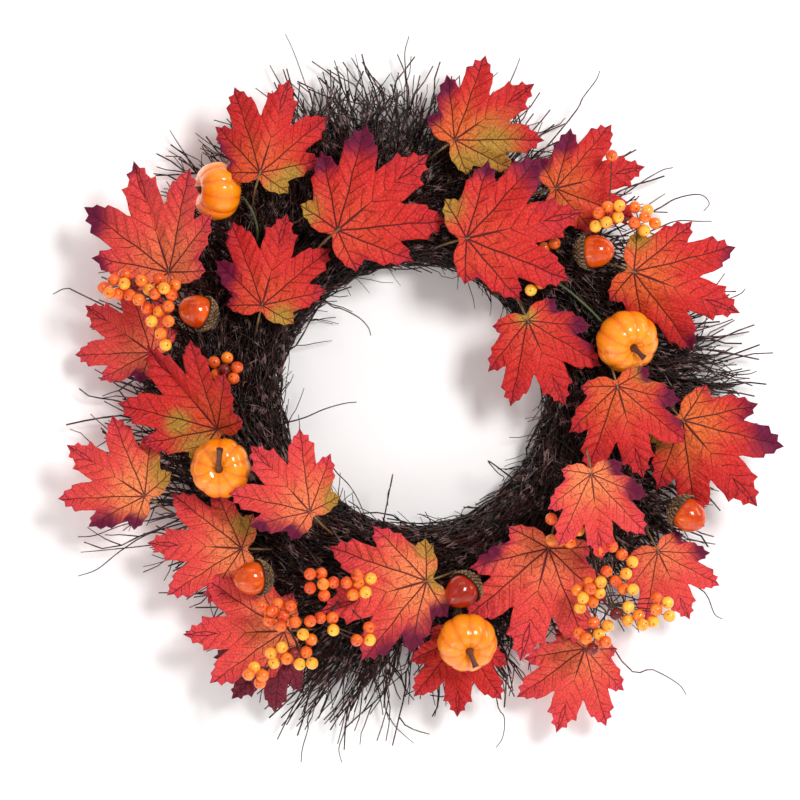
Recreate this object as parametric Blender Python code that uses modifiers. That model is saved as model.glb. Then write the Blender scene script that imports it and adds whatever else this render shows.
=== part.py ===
"""Harvest door wreath, built as it is made: a welded wire frame, eight bunches of fine twigs bound
on with one wire, a swinging hanging loop, and picks of leaves, pumpkins, acorns and berries.

Metres, +Z up. The front faces -Y and the door is on the +Y side. The origin is the point inside the
top of the hanging loop where a nail or a hook carries the wreath.
"""
import itertools
import math

import bmesh
import bpy
from mathutils import Matrix, Vector

MM = 0.001
CLEARANCE = 0.3 * MM          # gap kept between pieces that rest on each other

# Wire frame: two rings of one wire with welded cross bars behind them.
FRAME_INNER_R = 105 * MM
FRAME_OUTER_R = 155 * MM
FRAME_WIRE_R = 1.5 * MM
BAR_WIRE_R = 1.2 * MM
RING_STEPS = 40

# Hanging loop: a bail whose two eyes turn on the inner ring.
LOOP_WIRE_R = 1.0 * MM
LOOP_EYE_GAP = 0.4 * MM       # running clearance round the ring wire
LOOP_HALF_WIDTH = 9 * MM
LOOP_LEG = 14 * MM
EYE_TURN = math.radians(260)

# Twig bunches.
BUNCHES = 8
OPENING_R = 94 * MM           # clear radius of the middle
CORE_R = 150 * MM             # where the thick part of the bunches ends
CORE_DEPTH = 34 * MM          # from the back of a bunch to its front, over the frame
TIP_DEPTH = 12 * MM           # at the outer ends of the twigs
EDGE_DEPTH = 17 * MM          # at the rounded inner edge
EDGE_RUN = 10 * MM            # over which the inner edge is rounded
TAPER_RUN = 85 * MM           # over which the depth falls from the core's to the tips'
TIP_RUN = 28 * MM             # the last stretch, where the twigs' ends stand apart
RAGGED = 9 * MM               # how far every other end falls short
SWIRL = math.radians(24)      # how far round the ring the twigs trail at the common reach
COMMON_REACH = 240 * MM
BUNCH_GAP = math.radians(0.6)
FRAME_RECESS = 4.5 * MM       # room round the outer ring, in the back of a bunch
RECESS_STEP = 4 * MM          # over which the back steps out to the door
NECK_END = 0.11               # share of a bunch's arc that the binding wire has to itself
NECK_DEPTH = 13 * MM
NECK_ROOT = 0.05              # how far a neck runs on inside its own fan

# Binding wire: one turn round each neck, then along the back to the next.
BINDING_R = 0.6 * MM
BINDING_BACK_R = 143 * MM
BINDING_GAP = 0.5 * MM        # between the wire and what it is bound round

# Leaves.
BLADE_THICKNESS = 0.8 * MM
STEM_R = 0.9 * MM
STEM_RUN = 6 * MM             # how far a stem reaches back under its own leaf
STEM_GAP = 0.5 * MM           # between a stem's foot and the twigs
PICKS_R = 130 * MM            # ring radius for which the places of the picks are given

# Picked fruit.
PUMPKIN_R = 21 * MM
PUMPKIN_HEIGHT = 0.8          # height over width
PUMPKIN_RIBS = 10
RIB_SWELL = 0.035             # share of the radius by which a rib stands out
DIMPLE = 0.26                 # depth of the dimple under the stalk, as a share of the radius
STALK_LENGTH = 13 * MM
STALK_R = 2.3 * MM
STALK_LIFT = 1.9 * MM         # a stalk's foot over the middle of the dimple
STALK_LEAN = 0.22             # how far a stalk leans over, as a share of its length
PICK_R = 1.0 * MM
NUT_R = 11.5 * MM
NUT_LENGTH = 27 * MM
NUT_TIP = 1.5 * MM
CAP_WALL = 1.8 * MM
CAP_SEAT = 1.2 * MM           # room in the cap behind the nut
CAP_LEAD = 0.8 * MM           # how far the cap sits back from the nut's own curve
PICK_LEAD = 4 * MM            # straight run of a pick behind its cap
CAP_COVER = 0.42              # share of the nut's length inside its cap
BERRY_R = 4.35 * MM
BERRY_STEM_R = 0.7 * MM
SPRAY_STEM_R = 1.1 * MM
SETTLE_ROUNDS = 120

# Places worked out from the sizes above.
EYE_R = FRAME_WIRE_R + LOOP_EYE_GAP + LOOP_WIRE_R
RING_Y = -EYE_R
LOOP_FOOT = math.sqrt(FRAME_INNER_R ** 2 - LOOP_HALF_WIDTH ** 2)
RING_Z = -(LOOP_FOOT + LOOP_LEG + LOOP_HALF_WIDTH - LOOP_WIRE_R)
BACK_Y = RING_Y - FRAME_WIRE_R - CLEARANCE
FRONT_Y = BACK_Y - CORE_DEPTH
BAR_Y = RING_Y + FRAME_WIRE_R + 0.5 * BAR_WIRE_R
BINDING_BACK_Y = BAR_Y + BAR_WIRE_R + CLEARANCE + BINDING_R
DOOR_Y = BINDING_BACK_Y + BINDING_R + CLEARANCE
FRAME_RECESS_R = FRAME_OUTER_R + FRAME_WIRE_R + FRAME_RECESS
BUNCH_ARC = math.tau / BUNCHES
PICK_SPREAD = (FRAME_INNER_R + FRAME_OUTER_R) / 2 / PICKS_R

# name: (angle of the middle of the bunch in degrees, reach of its twigs in mm)
BUNCH_PLACES = {
    "twig_bunch_top": (90, 243),
    "twig_bunch_top_right": (45, 240),
    "twig_bunch_right": (0, 243),
    "twig_bunch_bottom_right": (-45, 234),
    "twig_bunch_bottom": (-90, 247),
    "twig_bunch_bottom_left": (-135, 242),
    "twig_bunch_left": (180, 238),
    "twig_bunch_top_left": (135, 236),
}

# name: (x, z from the ring's centre, height over the bunches' front, heading of the middle lobe,
#        reach of that lobe, droop of the left side, of the right side, and of the tip);
#        a negative droop lifts that side forward
LEAVES = {
    "leaf_left_upper": (-170, 86, 24, 108, 83, 15, -35, 8),
    "leaf_left_inner": (-105, 63, 20, 75, 67, 10, 10, 0),
    "leaf_top_left": (-106, 155, 31, 73, 70, 8, 20, 8),
    "leaf_top_middle": (-52, 115, 30, 40, 83, 10, 12, 0),
    "leaf_top": (31, 179, 18, 31, 67, 10, 15, 0),
    "leaf_top_inner": (40, 110, 34, 13, 79, 10, 10, 0),
    "leaf_right_top": (101, 145, 16, 14, 65, 10, 15, 0),
    "leaf_right_upper": (155, 86, 26, -21, 80, 10, 36, 0),
    "leaf_right_inner": (81, 52, 22, 294, 65, 8, 10, 0),
    "leaf_right_middle": (142, 9, 34, 286, 64, 8, 10, 0),
    "leaf_right_outer": (190, -18, 18, -49, 80, 12, 25, 0),
    "leaf_right_lower": (124, -55, 46, 277, 60, 0, -25, 0),
    "leaf_bottom_right_outer": (173, -110, 12, -64, 56, 15, 15, 12),
    "leaf_bottom_right_inner": (94, -102, 9, 256, 83, 8, 0, 0),
    "leaf_bottom_right": (117, -175, 3, 252, 65, 20, 14, 8),
    "leaf_under_pumpkin": (30, -171, -1, 295, 56, 0, 0, 5),
    "leaf_bottom_middle": (10, -127, 26, 194, 76, 8, 8, 0),
    "leaf_bottom_left_inner": (-71, -81, 41, 132, 62, 4, 10, 0),
    "leaf_left_middle": (-137, -22, 9, 132, 77, 0, -30, -10),
    "leaf_left_under": (-184, 30, 6, 145, 62, 10, 10, 18),
    "leaf_left_outer": (-185, -71, 12, 147, 65, 10, 15, 0),
    "leaf_left_lower": (-121, -103, 8, 177, 64, 8, 12, 0),
    "leaf_bottom_left_outer": (-90, -164, 10, 182, 71, 20, 0, 0),
    "leaf_bottom_left_dark": (-96, -179, -7, 228, 58, 5, 5, 5),
}

# Half of a leaf's edge, from the middle lobe round to the stem: (angle from the lobe, reach share)
HALF_LEAF = (
    (7, 0.80), (19, 0.60), (28, 0.76), (36, 0.93), (43, 0.72), (50, 0.54), (62, 0.66),
    (74, 0.46), (88, 0.30), (104, 0.32), (140, 0.18),
)

# name: (x, z, height one common radius behind the middle, width share, axis towards the stalk)
PUMPKINS = {
    "pumpkin_upper_left": (-137, 143.5, -11, 0.98, (-0.93, -0.36, 0.04)),
    "pumpkin_right": (150.5, 37.5, 2, 1.05, (0.30, -0.88, -0.36)),
    "pumpkin_left": (-133.7, -51, 6, 1.01, (-0.03, -1.0, -0.05)),
    "pumpkin_bottom": (38.5, -173, 5, 1.0, (0.13, -0.90, -0.42)),
}

# Leaves that another's pick passes through.
PIERCED = {"leaf_under_pumpkin": "pumpkin_bottom"}

# name: (x, z, height one nut's radius behind the middle, axis towards the nut's tip)
ACORNS = {
    "acorn_left": (-152, 59, 6.5, (-0.85, -0.42, 0.30)),
    "acorn_right_upper": (130, 101, 6.5, (0.93, -0.36, 0.02)),
    "acorn_bottom_left": (-113, -128, 16.5, (-0.88, -0.46, -0.05)),
    "acorn_bottom": (34, -138, 14.5, (-0.62, -0.55, -0.56)),
    "acorn_right_lower": (195, -85, 4.5, (0.76, -0.36, -0.54)),
}

# name: (foot of the stem x, z, height of the fork, rosettes as x, z, height, number of berries)
SPRAYS = {
    "berry_spray_left": ((-168, 60), 30, (
        (-205, 77, 42, 4), (-189, 75, 46, 4), (-171, 75, 46, 4), (-174, 57, 44, 3),
        (-173, 40, 38, 2))),
    "berry_spray_left_inner": ((-122, 10), 10, ((-130, 19, 22, 6),)),
    "berry_spray_top_right": ((150, 112), 20, ((137, 125, 32, 4), (162, 123, 36, 5))),
    "berry_spray_top_inner": ((90, 92), 10, ((96, 105, 18, 3), (87, 76, 14, 3))),
    "berry_spray_bottom_inner": ((-70, -116), 32, ((-66, -130, 44, 5), (-38, -131, 46, 5))),
    "berry_spray_bottom_left": ((-56, -150), 28, (
        (-90, -152, 42, 6), (-63, -157, 40, 4), (-34, -169, 36, 3), (-96, -182, 32, 4),
        (-76, -183, 36, 3), (-107, -195, 26, 3))),
    "berry_spray_bottom_right": ((126, -117), 26, (
        (104, -96, 30, 4), (141, -110, 38, 4), (143, -128, 40, 4), (124, -137, 42, 5),
        (150, -151, 40, 3), (170, -149, 38, 4), (127, -167, 40, 5))),
}


def clear_scene():
    for obj in list(bpy.data.objects):
        bpy.data.objects.remove(obj, do_unlink=True)


def new_collection(name):
    collection = bpy.data.collections.new(name)
    bpy.context.scene.collection.children.link(collection)
    return collection


clear_scene()
PARTS = new_collection("harvest_door_wreath")
CUTTERS = new_collection("cutters")


def make_material(name, colour, roughness, metallic=0.0):
    material = bpy.data.materials.new(name)
    material.use_nodes = True
    shader = material.node_tree.nodes["Principled BSDF"]
    shader.inputs["Base Color"].default_value = (*colour, 1.0)
    shader.inputs["Roughness"].default_value = roughness
    shader.inputs["Metallic"].default_value = metallic
    return material


IRON = make_material("black_iron_wire", (0.05, 0.045, 0.04), 0.45, 0.8)
STEEL = make_material("loop_wire", (0.20, 0.19, 0.18), 0.40, 0.9)
BINDING = make_material("binding_wire_brown", (0.10, 0.07, 0.05), 0.5, 0.6)
TWIGS = make_material("dark_twigs", (0.07, 0.045, 0.04), 0.75)
LEAF_RED = make_material("leaf_fabric_red", (0.78, 0.13, 0.06), 0.7)
LEAF_ORANGE = make_material("leaf_fabric_orange", (0.85, 0.26, 0.08), 0.7)
LEAF_DARK = make_material("leaf_fabric_dark", (0.22, 0.03, 0.06), 0.7)
PUMPKIN_SKIN = make_material("pumpkin_orange", (0.95, 0.42, 0.04), 0.3)
STALK_SKIN = make_material("pumpkin_stalk_brown", (0.12, 0.05, 0.03), 0.6)
NUT_SKIN = make_material("acorn_nut_red", (0.75, 0.14, 0.02), 0.2)
CAP_SKIN = make_material("acorn_cap_brown", (0.10, 0.06, 0.03), 0.7)
BERRY_SKIN = make_material("berry_orange", (0.90, 0.25, 0.03), 0.25)


def polar(radius, angle, y):
    return Vector((radius * math.cos(angle), y, RING_Z + radius * math.sin(angle)))


def weld(bm):
    bmesh.ops.remove_doubles(bm, verts=bm.verts, dist=0.001 * MM)
    bmesh.ops.recalc_face_normals(bm, faces=bm.faces)


def to_mesh(bm, name):
    mesh = bpy.data.meshes.new(name)
    bm.to_mesh(mesh)
    bm.free()
    return mesh


def add_part(name, mesh, material, smooth=True):
    obj = bpy.data.objects.new(name, mesh)
    mesh.materials.clear()
    mesh.materials.append(material)
    if smooth:
        mesh.shade_smooth()
        mesh.set_sharp_from_angle(angle=math.radians(40))
    PARTS.objects.link(obj)
    return obj


def add_tool(name, mesh):
    tool = bpy.data.objects.new(name, mesh)
    tool.hide_render = True
    tool.display_type = "WIRE"
    CUTTERS.objects.link(tool)
    return tool


def combine(obj, tool, operation="UNION"):
    boolean = obj.modifiers.new(tool.name, "BOOLEAN")
    boolean.operation = operation
    boolean.object = tool
    boolean.solver = "EXACT"
    boolean.use_self = operation == "UNION"


def wire_mesh(name, points, radius, detail=1, closed=False):
    """A round wire through the points, with welded caps; detail 1 gives six sides, 2 eight."""
    curve = bpy.data.curves.new(name, "CURVE")
    curve.dimensions = "3D"
    curve.bevel_depth = radius
    curve.bevel_resolution = detail
    curve.use_fill_caps = not closed
    spline = curve.splines.new("POLY")
    spline.points.add(len(points) - 1)
    for slot, point in zip(spline.points, points):
        slot.co = (*point, 1.0)
    spline.use_cyclic_u = closed
    guide = bpy.data.objects.new(name, curve)
    CUTTERS.objects.link(guide)
    bpy.context.view_layer.update()
    evaluated = guide.evaluated_get(bpy.context.evaluated_depsgraph_get())
    mesh = bpy.data.meshes.new_from_object(evaluated)
    bpy.data.objects.remove(guide, do_unlink=True)
    bpy.data.curves.remove(curve)
    bm = bmesh.new()
    bm.from_mesh(mesh)
    weld(bm)
    bm.to_mesh(mesh)
    bm.free()
    mesh.name = name
    return mesh


def turn_to(axis):
    """A turn that takes +Z to the axis."""
    return Vector(axis).normalized().to_track_quat("Z", "Y").to_matrix().to_4x4()


def rod(bm, start, end, radius, sides):
    """A straight rod between two points, added to the bmesh."""
    along = end - start
    place = Matrix.Translation((start + end) / 2) @ turn_to(along)
    bmesh.ops.create_cone(bm, cap_ends=True, segments=sides, radius1=radius, radius2=radius,
                          depth=along.length, matrix=place)


def ring_points(radius, y):
    return [polar(radius, math.tau * step / RING_STEPS, y) for step in range(RING_STEPS)]


def build_frame():
    inner = wire_mesh("frame_inner_ring", ring_points(FRAME_INNER_R, RING_Y), FRAME_WIRE_R,
                      closed=True)
    frame = add_part("wire_frame", inner, IRON)
    outer = wire_mesh("frame_outer_ring", ring_points(FRAME_OUTER_R, RING_Y), FRAME_WIRE_R,
                      closed=True)
    combine(frame, add_tool("frame_outer_ring", outer))
    bars = bmesh.new()
    for number in range(BUNCHES):
        # The top bar gives way to the hanging loop, so the bars stand a third of an arc off it.
        angle = math.pi / 2 + BUNCH_ARC * (number + 1 / 3)
        rod(bars, polar(FRAME_INNER_R - FRAME_WIRE_R / 2, angle, BAR_Y),
            polar(FRAME_OUTER_R + FRAME_WIRE_R / 2, angle, BAR_Y), BAR_WIRE_R, 6)
    combine(frame, add_tool("frame_cross_bars", to_mesh(bars, "frame_cross_bars")))


def loop_eye(side):
    """The wire of one eye, from its free end round to where the leg leaves it."""
    steps = 9
    centre_z = RING_Z + LOOP_FOOT
    points = []
    for step in range(steps + 1):
        angle = -EYE_TURN * (1 - step / steps)
        points.append(Vector((side * LOOP_HALF_WIDTH, RING_Y + EYE_R * math.cos(angle),
                              centre_z + EYE_R * math.sin(angle))))
    return points


def build_hanging_loop():
    crown_z = RING_Z + LOOP_FOOT + LOOP_LEG
    crown = []
    steps = 8
    for step in range(steps + 1):
        angle = math.pi * (1 - step / steps)
        crown.append(Vector((LOOP_HALF_WIDTH * math.cos(angle), 0.0,
                             crown_z + LOOP_HALF_WIDTH * math.sin(angle))))
    points = loop_eye(-1) + crown + list(reversed(loop_eye(1)))
    add_part("hanging_loop", wire_mesh("hanging_loop", points, LOOP_WIRE_R), STEEL)


def trail(radius):
    """How far round the ring the twigs at a radius lie behind those at the opening."""
    return SWIRL * (radius - OPENING_R) / (COMMON_REACH - OPENING_R)


def bunch_front(radius):
    """The depth of a bunch at a radius, measured forward from its back over the frame."""
    if radius < OPENING_R + EDGE_RUN:
        share = max(0.0, (radius - OPENING_R) / EDGE_RUN)
        return EDGE_DEPTH + (CORE_DEPTH - EDGE_DEPTH) * share
    if radius < CORE_R:
        return CORE_DEPTH
    share = min(1.0, (radius - CORE_R) / TAPER_RUN)
    return CORE_DEPTH + (TIP_DEPTH - CORE_DEPTH) * share


def bent_slab(start, columns, rows, front, back):
    """A flat grid bent round the ring: columns are shares of a bunch's arc, rows are radii, and
    front and back give the surface's place in depth at a radius."""
    bm = bmesh.new()
    bmesh.ops.create_grid(bm, x_segments=len(columns) - 1, y_segments=len(rows) - 1, size=1.0)
    behind = bmesh.ops.extrude_face_region(bm, geom=bm.faces[:])
    for vertex in [item for item in behind["geom"] if isinstance(item, bmesh.types.BMVert)]:
        vertex.co.z = -1.0
    for vertex in bm.verts:
        column = round((vertex.co.x + 1) / 2 * (len(columns) - 1))
        row = round((vertex.co.y + 1) / 2 * (len(rows) - 1))
        radius = rows[row]
        angle = start - columns[column] * (BUNCH_ARC - BUNCH_GAP) - trail(radius)
        surface = back if vertex.co.z < -0.5 else front
        # The outermost row is ragged, as the twigs end at different lengths.
        ragged = RAGGED * (column % 2) if radius > FRAME_RECESS_R and row == len(rows) - 1 else 0.0
        vertex.co = polar(radius - ragged, angle, surface(radius))
    bmesh.ops.recalc_face_normals(bm, faces=bm.faces)
    return bm


def build_bunch(name, middle_angle, reach):
    """The fan of a bunch, and the bound neck at its root."""
    start = math.radians(middle_angle) + BUNCH_ARC / 2 - BUNCH_GAP / 2
    middle_r = (OPENING_R + CORE_R) / 2
    fan_rows = (OPENING_R, OPENING_R + EDGE_RUN, middle_r, CORE_R, FRAME_RECESS_R,
                FRAME_RECESS_R + RECESS_STEP, reach - TIP_RUN, reach)
    fan = bent_slab(start, (NECK_END, 0.4, 0.7, 1.0), fan_rows,
                    lambda radius: BACK_Y - bunch_front(radius),
                    lambda radius: DOOR_Y if radius > FRAME_RECESS_R else BACK_Y)
    neck_rows = (FRAME_INNER_R - FRAME_WIRE_R, middle_r, FRAME_OUTER_R + FRAME_WIRE_R)
    neck = bent_slab(start, (0.0, NECK_END + NECK_ROOT), neck_rows,
                     lambda radius: BACK_Y - NECK_DEPTH,
                     lambda radius: BACK_Y - CLEARANCE)
    bunch = add_part(name, to_mesh(fan, name), TWIGS, smooth=False)
    combine(bunch, add_tool(name + "_neck", to_mesh(neck, name + "_neck")))
    return bunch


def cut_loop_recess(bunch):
    """Room behind the top bunch for the eyes of the hanging loop to turn in."""
    room = EYE_R + LOOP_WIRE_R + 1 * MM
    bm = bmesh.new()
    bmesh.ops.create_cube(bm, size=1.0)
    size = (2 * (LOOP_HALF_WIDTH + LOOP_WIRE_R + 2 * MM), 2 * room, 2 * room)
    bmesh.ops.scale(bm, verts=bm.verts, vec=size)
    bmesh.ops.translate(bm, verts=bm.verts, vec=(0.0, RING_Y, RING_Z + LOOP_FOOT))
    combine(bunch, add_tool("loop_recess", to_mesh(bm, "loop_recess")), "DIFFERENCE")


def binding_point(bunch_number, radius, y):
    """A point of the binding wire in the middle of a bunch's neck."""
    start = math.pi / 2 + BUNCH_ARC / 2 - BUNCH_GAP / 2 - bunch_number * BUNCH_ARC
    return polar(radius, start - 0.5 * NECK_END * BUNCH_ARC - trail(radius), y)


def build_binding_wire():
    gap = BINDING_R + BINDING_GAP
    inner = FRAME_INNER_R - FRAME_WIRE_R - gap
    outer = FRAME_OUTER_R + FRAME_WIRE_R + gap
    front = BACK_Y - NECK_DEPTH - gap
    points = []
    for number in range(BUNCHES):
        points.append(binding_point(number, outer, BINDING_BACK_Y))
        points.append(binding_point(number, outer, front))
        points.append(binding_point(number, inner, front))
        points.append(binding_point(number, inner, BINDING_BACK_Y))
        for share in (0.0, 0.25, 0.5, 0.75):
            radius = BINDING_BACK_R + (outer - BINDING_BACK_R) * share
            points.append(binding_point(number + share, radius, BINDING_BACK_Y))
    add_part("binding_wire", wire_mesh("binding_wire", points, BINDING_R, closed=True), BINDING)


def place_at(x, z, height):
    """The point for a table's place in mm: from the ring's centre, and over the bunches' front."""
    return Vector((x * MM * PICK_SPREAD, FRONT_Y - height * MM, RING_Z + z * MM * PICK_SPREAD))


def fruit_centre(x, z, height, radius):
    """The middle of a pumpkin or a nut whose back is at a table's height."""
    return place_at(x, z, height) - Vector((0, radius, 0))


def on_bunch(point, radius=STEM_R):
    """The point on the front of the twigs, straight behind another, where a stem ends."""
    x, z = point.x, point.z - RING_Z
    distance = math.hypot(x, z)
    depth = max(bunch_front(distance - radius), bunch_front(distance + radius))
    return Vector((x, BACK_Y - depth - STEM_GAP, RING_Z + z))


def leaf_edge():
    """The whole edge as (angle, share) pairs, turning left from the middle lobe."""
    left = [(math.radians(angle), share) for angle, share in HALF_LEAF]
    right = [(-angle, share) for angle, share in reversed(left)]
    return [(0.0, 1.0)] + left + [(math.pi, 0.12)] + right


def build_leaf(name, x, z, height, heading, reach, droop_left, droop_right, droop_tip):
    """A blade bent back along its middle, on a wire stem that runs into the twigs."""
    reach *= MM
    heading = math.radians(heading)
    ahead = Vector((math.cos(heading), 0.0, math.sin(heading)))
    leftward = Vector((-math.sin(heading), 0.0, math.cos(heading)))
    root = place_at(x, z, height)
    edge = leaf_edge()
    bm = bmesh.new()
    bmesh.ops.create_circle(bm, cap_ends=True, cap_tris=True, segments=len(edge), radius=1.0)
    for vertex in bm.verts:
        if vertex.co.length < 0.5:
            vertex.co = root
            continue
        turn = math.atan2(vertex.co.y, vertex.co.x) - math.pi / 2
        step = round(turn / math.tau * len(edge)) % len(edge)
        angle, share = edge[step]
        forward = reach * share * math.cos(angle)
        aside = reach * share * math.sin(angle)
        side_droop = math.radians(droop_left if aside > 0 else droop_right)
        tip_droop = math.radians(droop_tip)
        back = abs(aside) * math.sin(side_droop) + abs(forward) * math.sin(tip_droop)
        vertex.co = (root + ahead * forward * math.cos(tip_droop)
                     + leftward * aside * math.cos(side_droop) + Vector((0, back, 0)))
    bmesh.ops.recalc_face_normals(bm, faces=bm.faces)
    material = LEAF_DARK if name.endswith("dark") else (
        LEAF_ORANGE if "bottom" in name else LEAF_RED)
    leaf = add_part(name, to_mesh(bm, name), material, smooth=False)
    thicken = leaf.modifiers.new("blade_thickness", "SOLIDIFY")
    thicken.thickness = BLADE_THICKNESS
    thicken.offset = 0.0
    foot = on_bunch(root - ahead * STEM_RUN)
    elbow = Vector((foot.x, 0.6 * root.y + 0.4 * foot.y, foot.z))
    stem = wire_mesh(name + "_stem", [root, elbow, foot], STEM_R)
    combine(leaf, add_tool(name + "_stem", stem))
    if name in PIERCED:
        over = fruit_centre(*PUMPKINS[PIERCED[name]][:3], PUMPKIN_R)
        hole = wire_mesh(name + "_hole", [over, on_bunch(over, PICK_R)], PICK_R + 2 * CLEARANCE)
        combine(leaf, add_tool(name + "_hole", hole), "DIFFERENCE")


def pumpkin_profile(share):
    """Radius and height of a pumpkin of unit radius, from its stalk end to its flower end."""
    angle = math.pi * share
    radius = math.sin(angle) ** 0.85
    dimple = DIMPLE * math.exp(-(radius / 0.33) ** 2)
    height = PUMPKIN_HEIGHT * math.cos(angle)
    return radius, height - math.copysign(dimple, height)


def build_pumpkin(name, x, z, height, width, axis):
    radius = PUMPKIN_R * width
    columns = 2 * PUMPKIN_RIBS
    rings = 8
    bm = bmesh.new()
    bmesh.ops.create_uvsphere(bm, u_segments=columns, v_segments=rings, radius=1.0)
    for vertex in bm.verts:
        share = math.acos(max(-1.0, min(1.0, vertex.co.z))) / math.pi
        spread, rise = pumpkin_profile(share)
        turn = math.atan2(vertex.co.y, vertex.co.x)
        rib = 1.0 + RIB_SWELL * math.cos(PUMPKIN_RIBS * turn)
        vertex.co = Vector((spread * rib * math.cos(turn), spread * rib * math.sin(turn),
                            rise)) * radius
    centre = fruit_centre(x, z, height, PUMPKIN_R)
    bmesh.ops.transform(bm, matrix=Matrix.Translation(centre) @ turn_to(axis), verts=bm.verts)
    pumpkin = add_part(name, to_mesh(bm, name), PUMPKIN_SKIN)
    pick = wire_mesh(name + "_pick", [centre, on_bunch(centre, PICK_R)], PICK_R)
    combine(pumpkin, add_tool(name + "_pick", pick))
    dimple_floor = pumpkin_profile(0.0)[1] * radius
    build_stalk(name + "_stalk", centre, axis, dimple_floor + STALK_LIFT)


def build_stalk(name, centre, axis, base_height):
    """A stub that swells at both ends and leans over as it rises."""
    bm = bmesh.new()
    bmesh.ops.create_cone(bm, cap_ends=True, segments=8, radius1=STALK_R, radius2=STALK_R * 0.9,
                          depth=STALK_LENGTH)
    bmesh.ops.bisect_plane(bm, geom=bm.verts[:] + bm.edges[:] + bm.faces[:],
                           plane_co=(0, 0, 0), plane_no=(0, 0, 1))
    for vertex in bm.verts:
        rise = vertex.co.z / STALK_LENGTH + 0.5
        waist = 0.72 if 0.2 < rise < 0.8 else 1.0
        vertex.co.x = vertex.co.x * waist + STALK_LEAN * STALK_LENGTH * rise ** 2
        vertex.co.y *= waist
    place = (Matrix.Translation(centre) @ turn_to(axis)
             @ Matrix.Translation((0, 0, base_height + STALK_LENGTH / 2)))
    bmesh.ops.transform(bm, matrix=place, verts=bm.verts)
    add_part(name, to_mesh(bm, name), STALK_SKIN)


def nut_radius(share):
    """Radius of the nut at a share of its length from the cap end to the tip."""
    return NUT_R * math.sin(math.pi * share ** 0.86) ** 0.55


def turned(name, profile, sides=10):
    """A closed body from a profile of (radius, height) that starts and ends on the axis."""
    bm = bmesh.new()
    verts = [bm.verts.new((radius, 0.0, height)) for radius, height in profile]
    edges = [bm.edges.new(pair) for pair in zip(verts, verts[1:])]
    bmesh.ops.spin(bm, geom=verts + edges, cent=(0, 0, 0), axis=(0, 0, 1), angle=math.tau,
                   steps=sides, use_merge=True, use_duplicate=False)
    bmesh.ops.remove_doubles(bm, verts=bm.verts, dist=0.01 * MM)
    bmesh.ops.recalc_face_normals(bm, faces=bm.faces)
    return bm


def build_acorn(name, x, z, height, axis):
    """The nut, and the cap that it sits in, on a wire pick. Heights run from cap to tip."""
    steps = 7
    nut_profile = [(0.0, 0.0)]
    for step in range(1, steps):
        share = step / steps
        nut_profile.append((nut_radius(share), NUT_LENGTH * share))
    nut_profile.append((0.0, NUT_LENGTH + NUT_TIP))
    rim = NUT_LENGTH * CAP_COVER
    inside = [(0.0, -CAP_SEAT)]
    for share in (0.35, 0.7, 1.0):
        rise = rim * share
        inside.append((nut_radius(rise / NUT_LENGTH) + 2 * CLEARANCE, rise - CAP_LEAD))
    outside = [(radius + CAP_WALL, rise) for radius, rise in reversed(inside[1:])]
    outside.append((0.5 * NUT_R, -CAP_SEAT - CAP_WALL * 0.8))
    outside.append((0.0, -CAP_SEAT - CAP_WALL))
    centre = fruit_centre(x, z, height, NUT_R)
    place = (Matrix.Translation(centre) @ turn_to(axis)
             @ Matrix.Translation((0, 0, -NUT_LENGTH * 0.55)))
    nut = turned(name + "_nut", nut_profile)
    bmesh.ops.transform(nut, matrix=place, verts=nut.verts)
    add_part(name + "_nut", to_mesh(nut, name + "_nut"), NUT_SKIN)
    cap = turned(name + "_cap", inside + outside)
    bmesh.ops.transform(cap, matrix=place, verts=cap.verts)
    cap_part = add_part(name + "_cap", to_mesh(cap, name + "_cap"), CAP_SKIN)
    crown = place @ Vector((0, 0, -CAP_SEAT - CAP_WALL * 0.6))
    beyond = place @ Vector((0, 0, -CAP_SEAT - CAP_WALL - PICK_LEAD))
    pick = wire_mesh(name + "_pick", [crown, beyond, on_bunch(beyond, PICK_R)], PICK_R)
    combine(cap_part, add_tool(name + "_pick", pick))


def spiral(centre, count):
    """Berries of one rosette before they settle: a sunflower spiral, higher in its middle."""
    places = []
    for number in range(count):
        turn = number * math.radians(137.5)
        radius = 1.15 * BERRY_R * math.sqrt(number)
        places.append(centre + Vector((radius * math.cos(turn), 0.30 * radius,
                                       radius * math.sin(turn))))
    return places


def settle(places, deepest):
    """Push berries apart until none overlap, without sinking any past its own deepest y."""
    spacing = 2 * BERRY_R + CLEARANCE
    for _ in range(SETTLE_ROUNDS):
        for first, second in itertools.combinations(places, 2):
            apart = second - first
            if apart.length < spacing:
                push = apart.normalized() * (spacing - apart.length) / 2
                first -= push
                second += push
        for place, limit in zip(places, deepest):
            place.y = min(place.y, limit)


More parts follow.
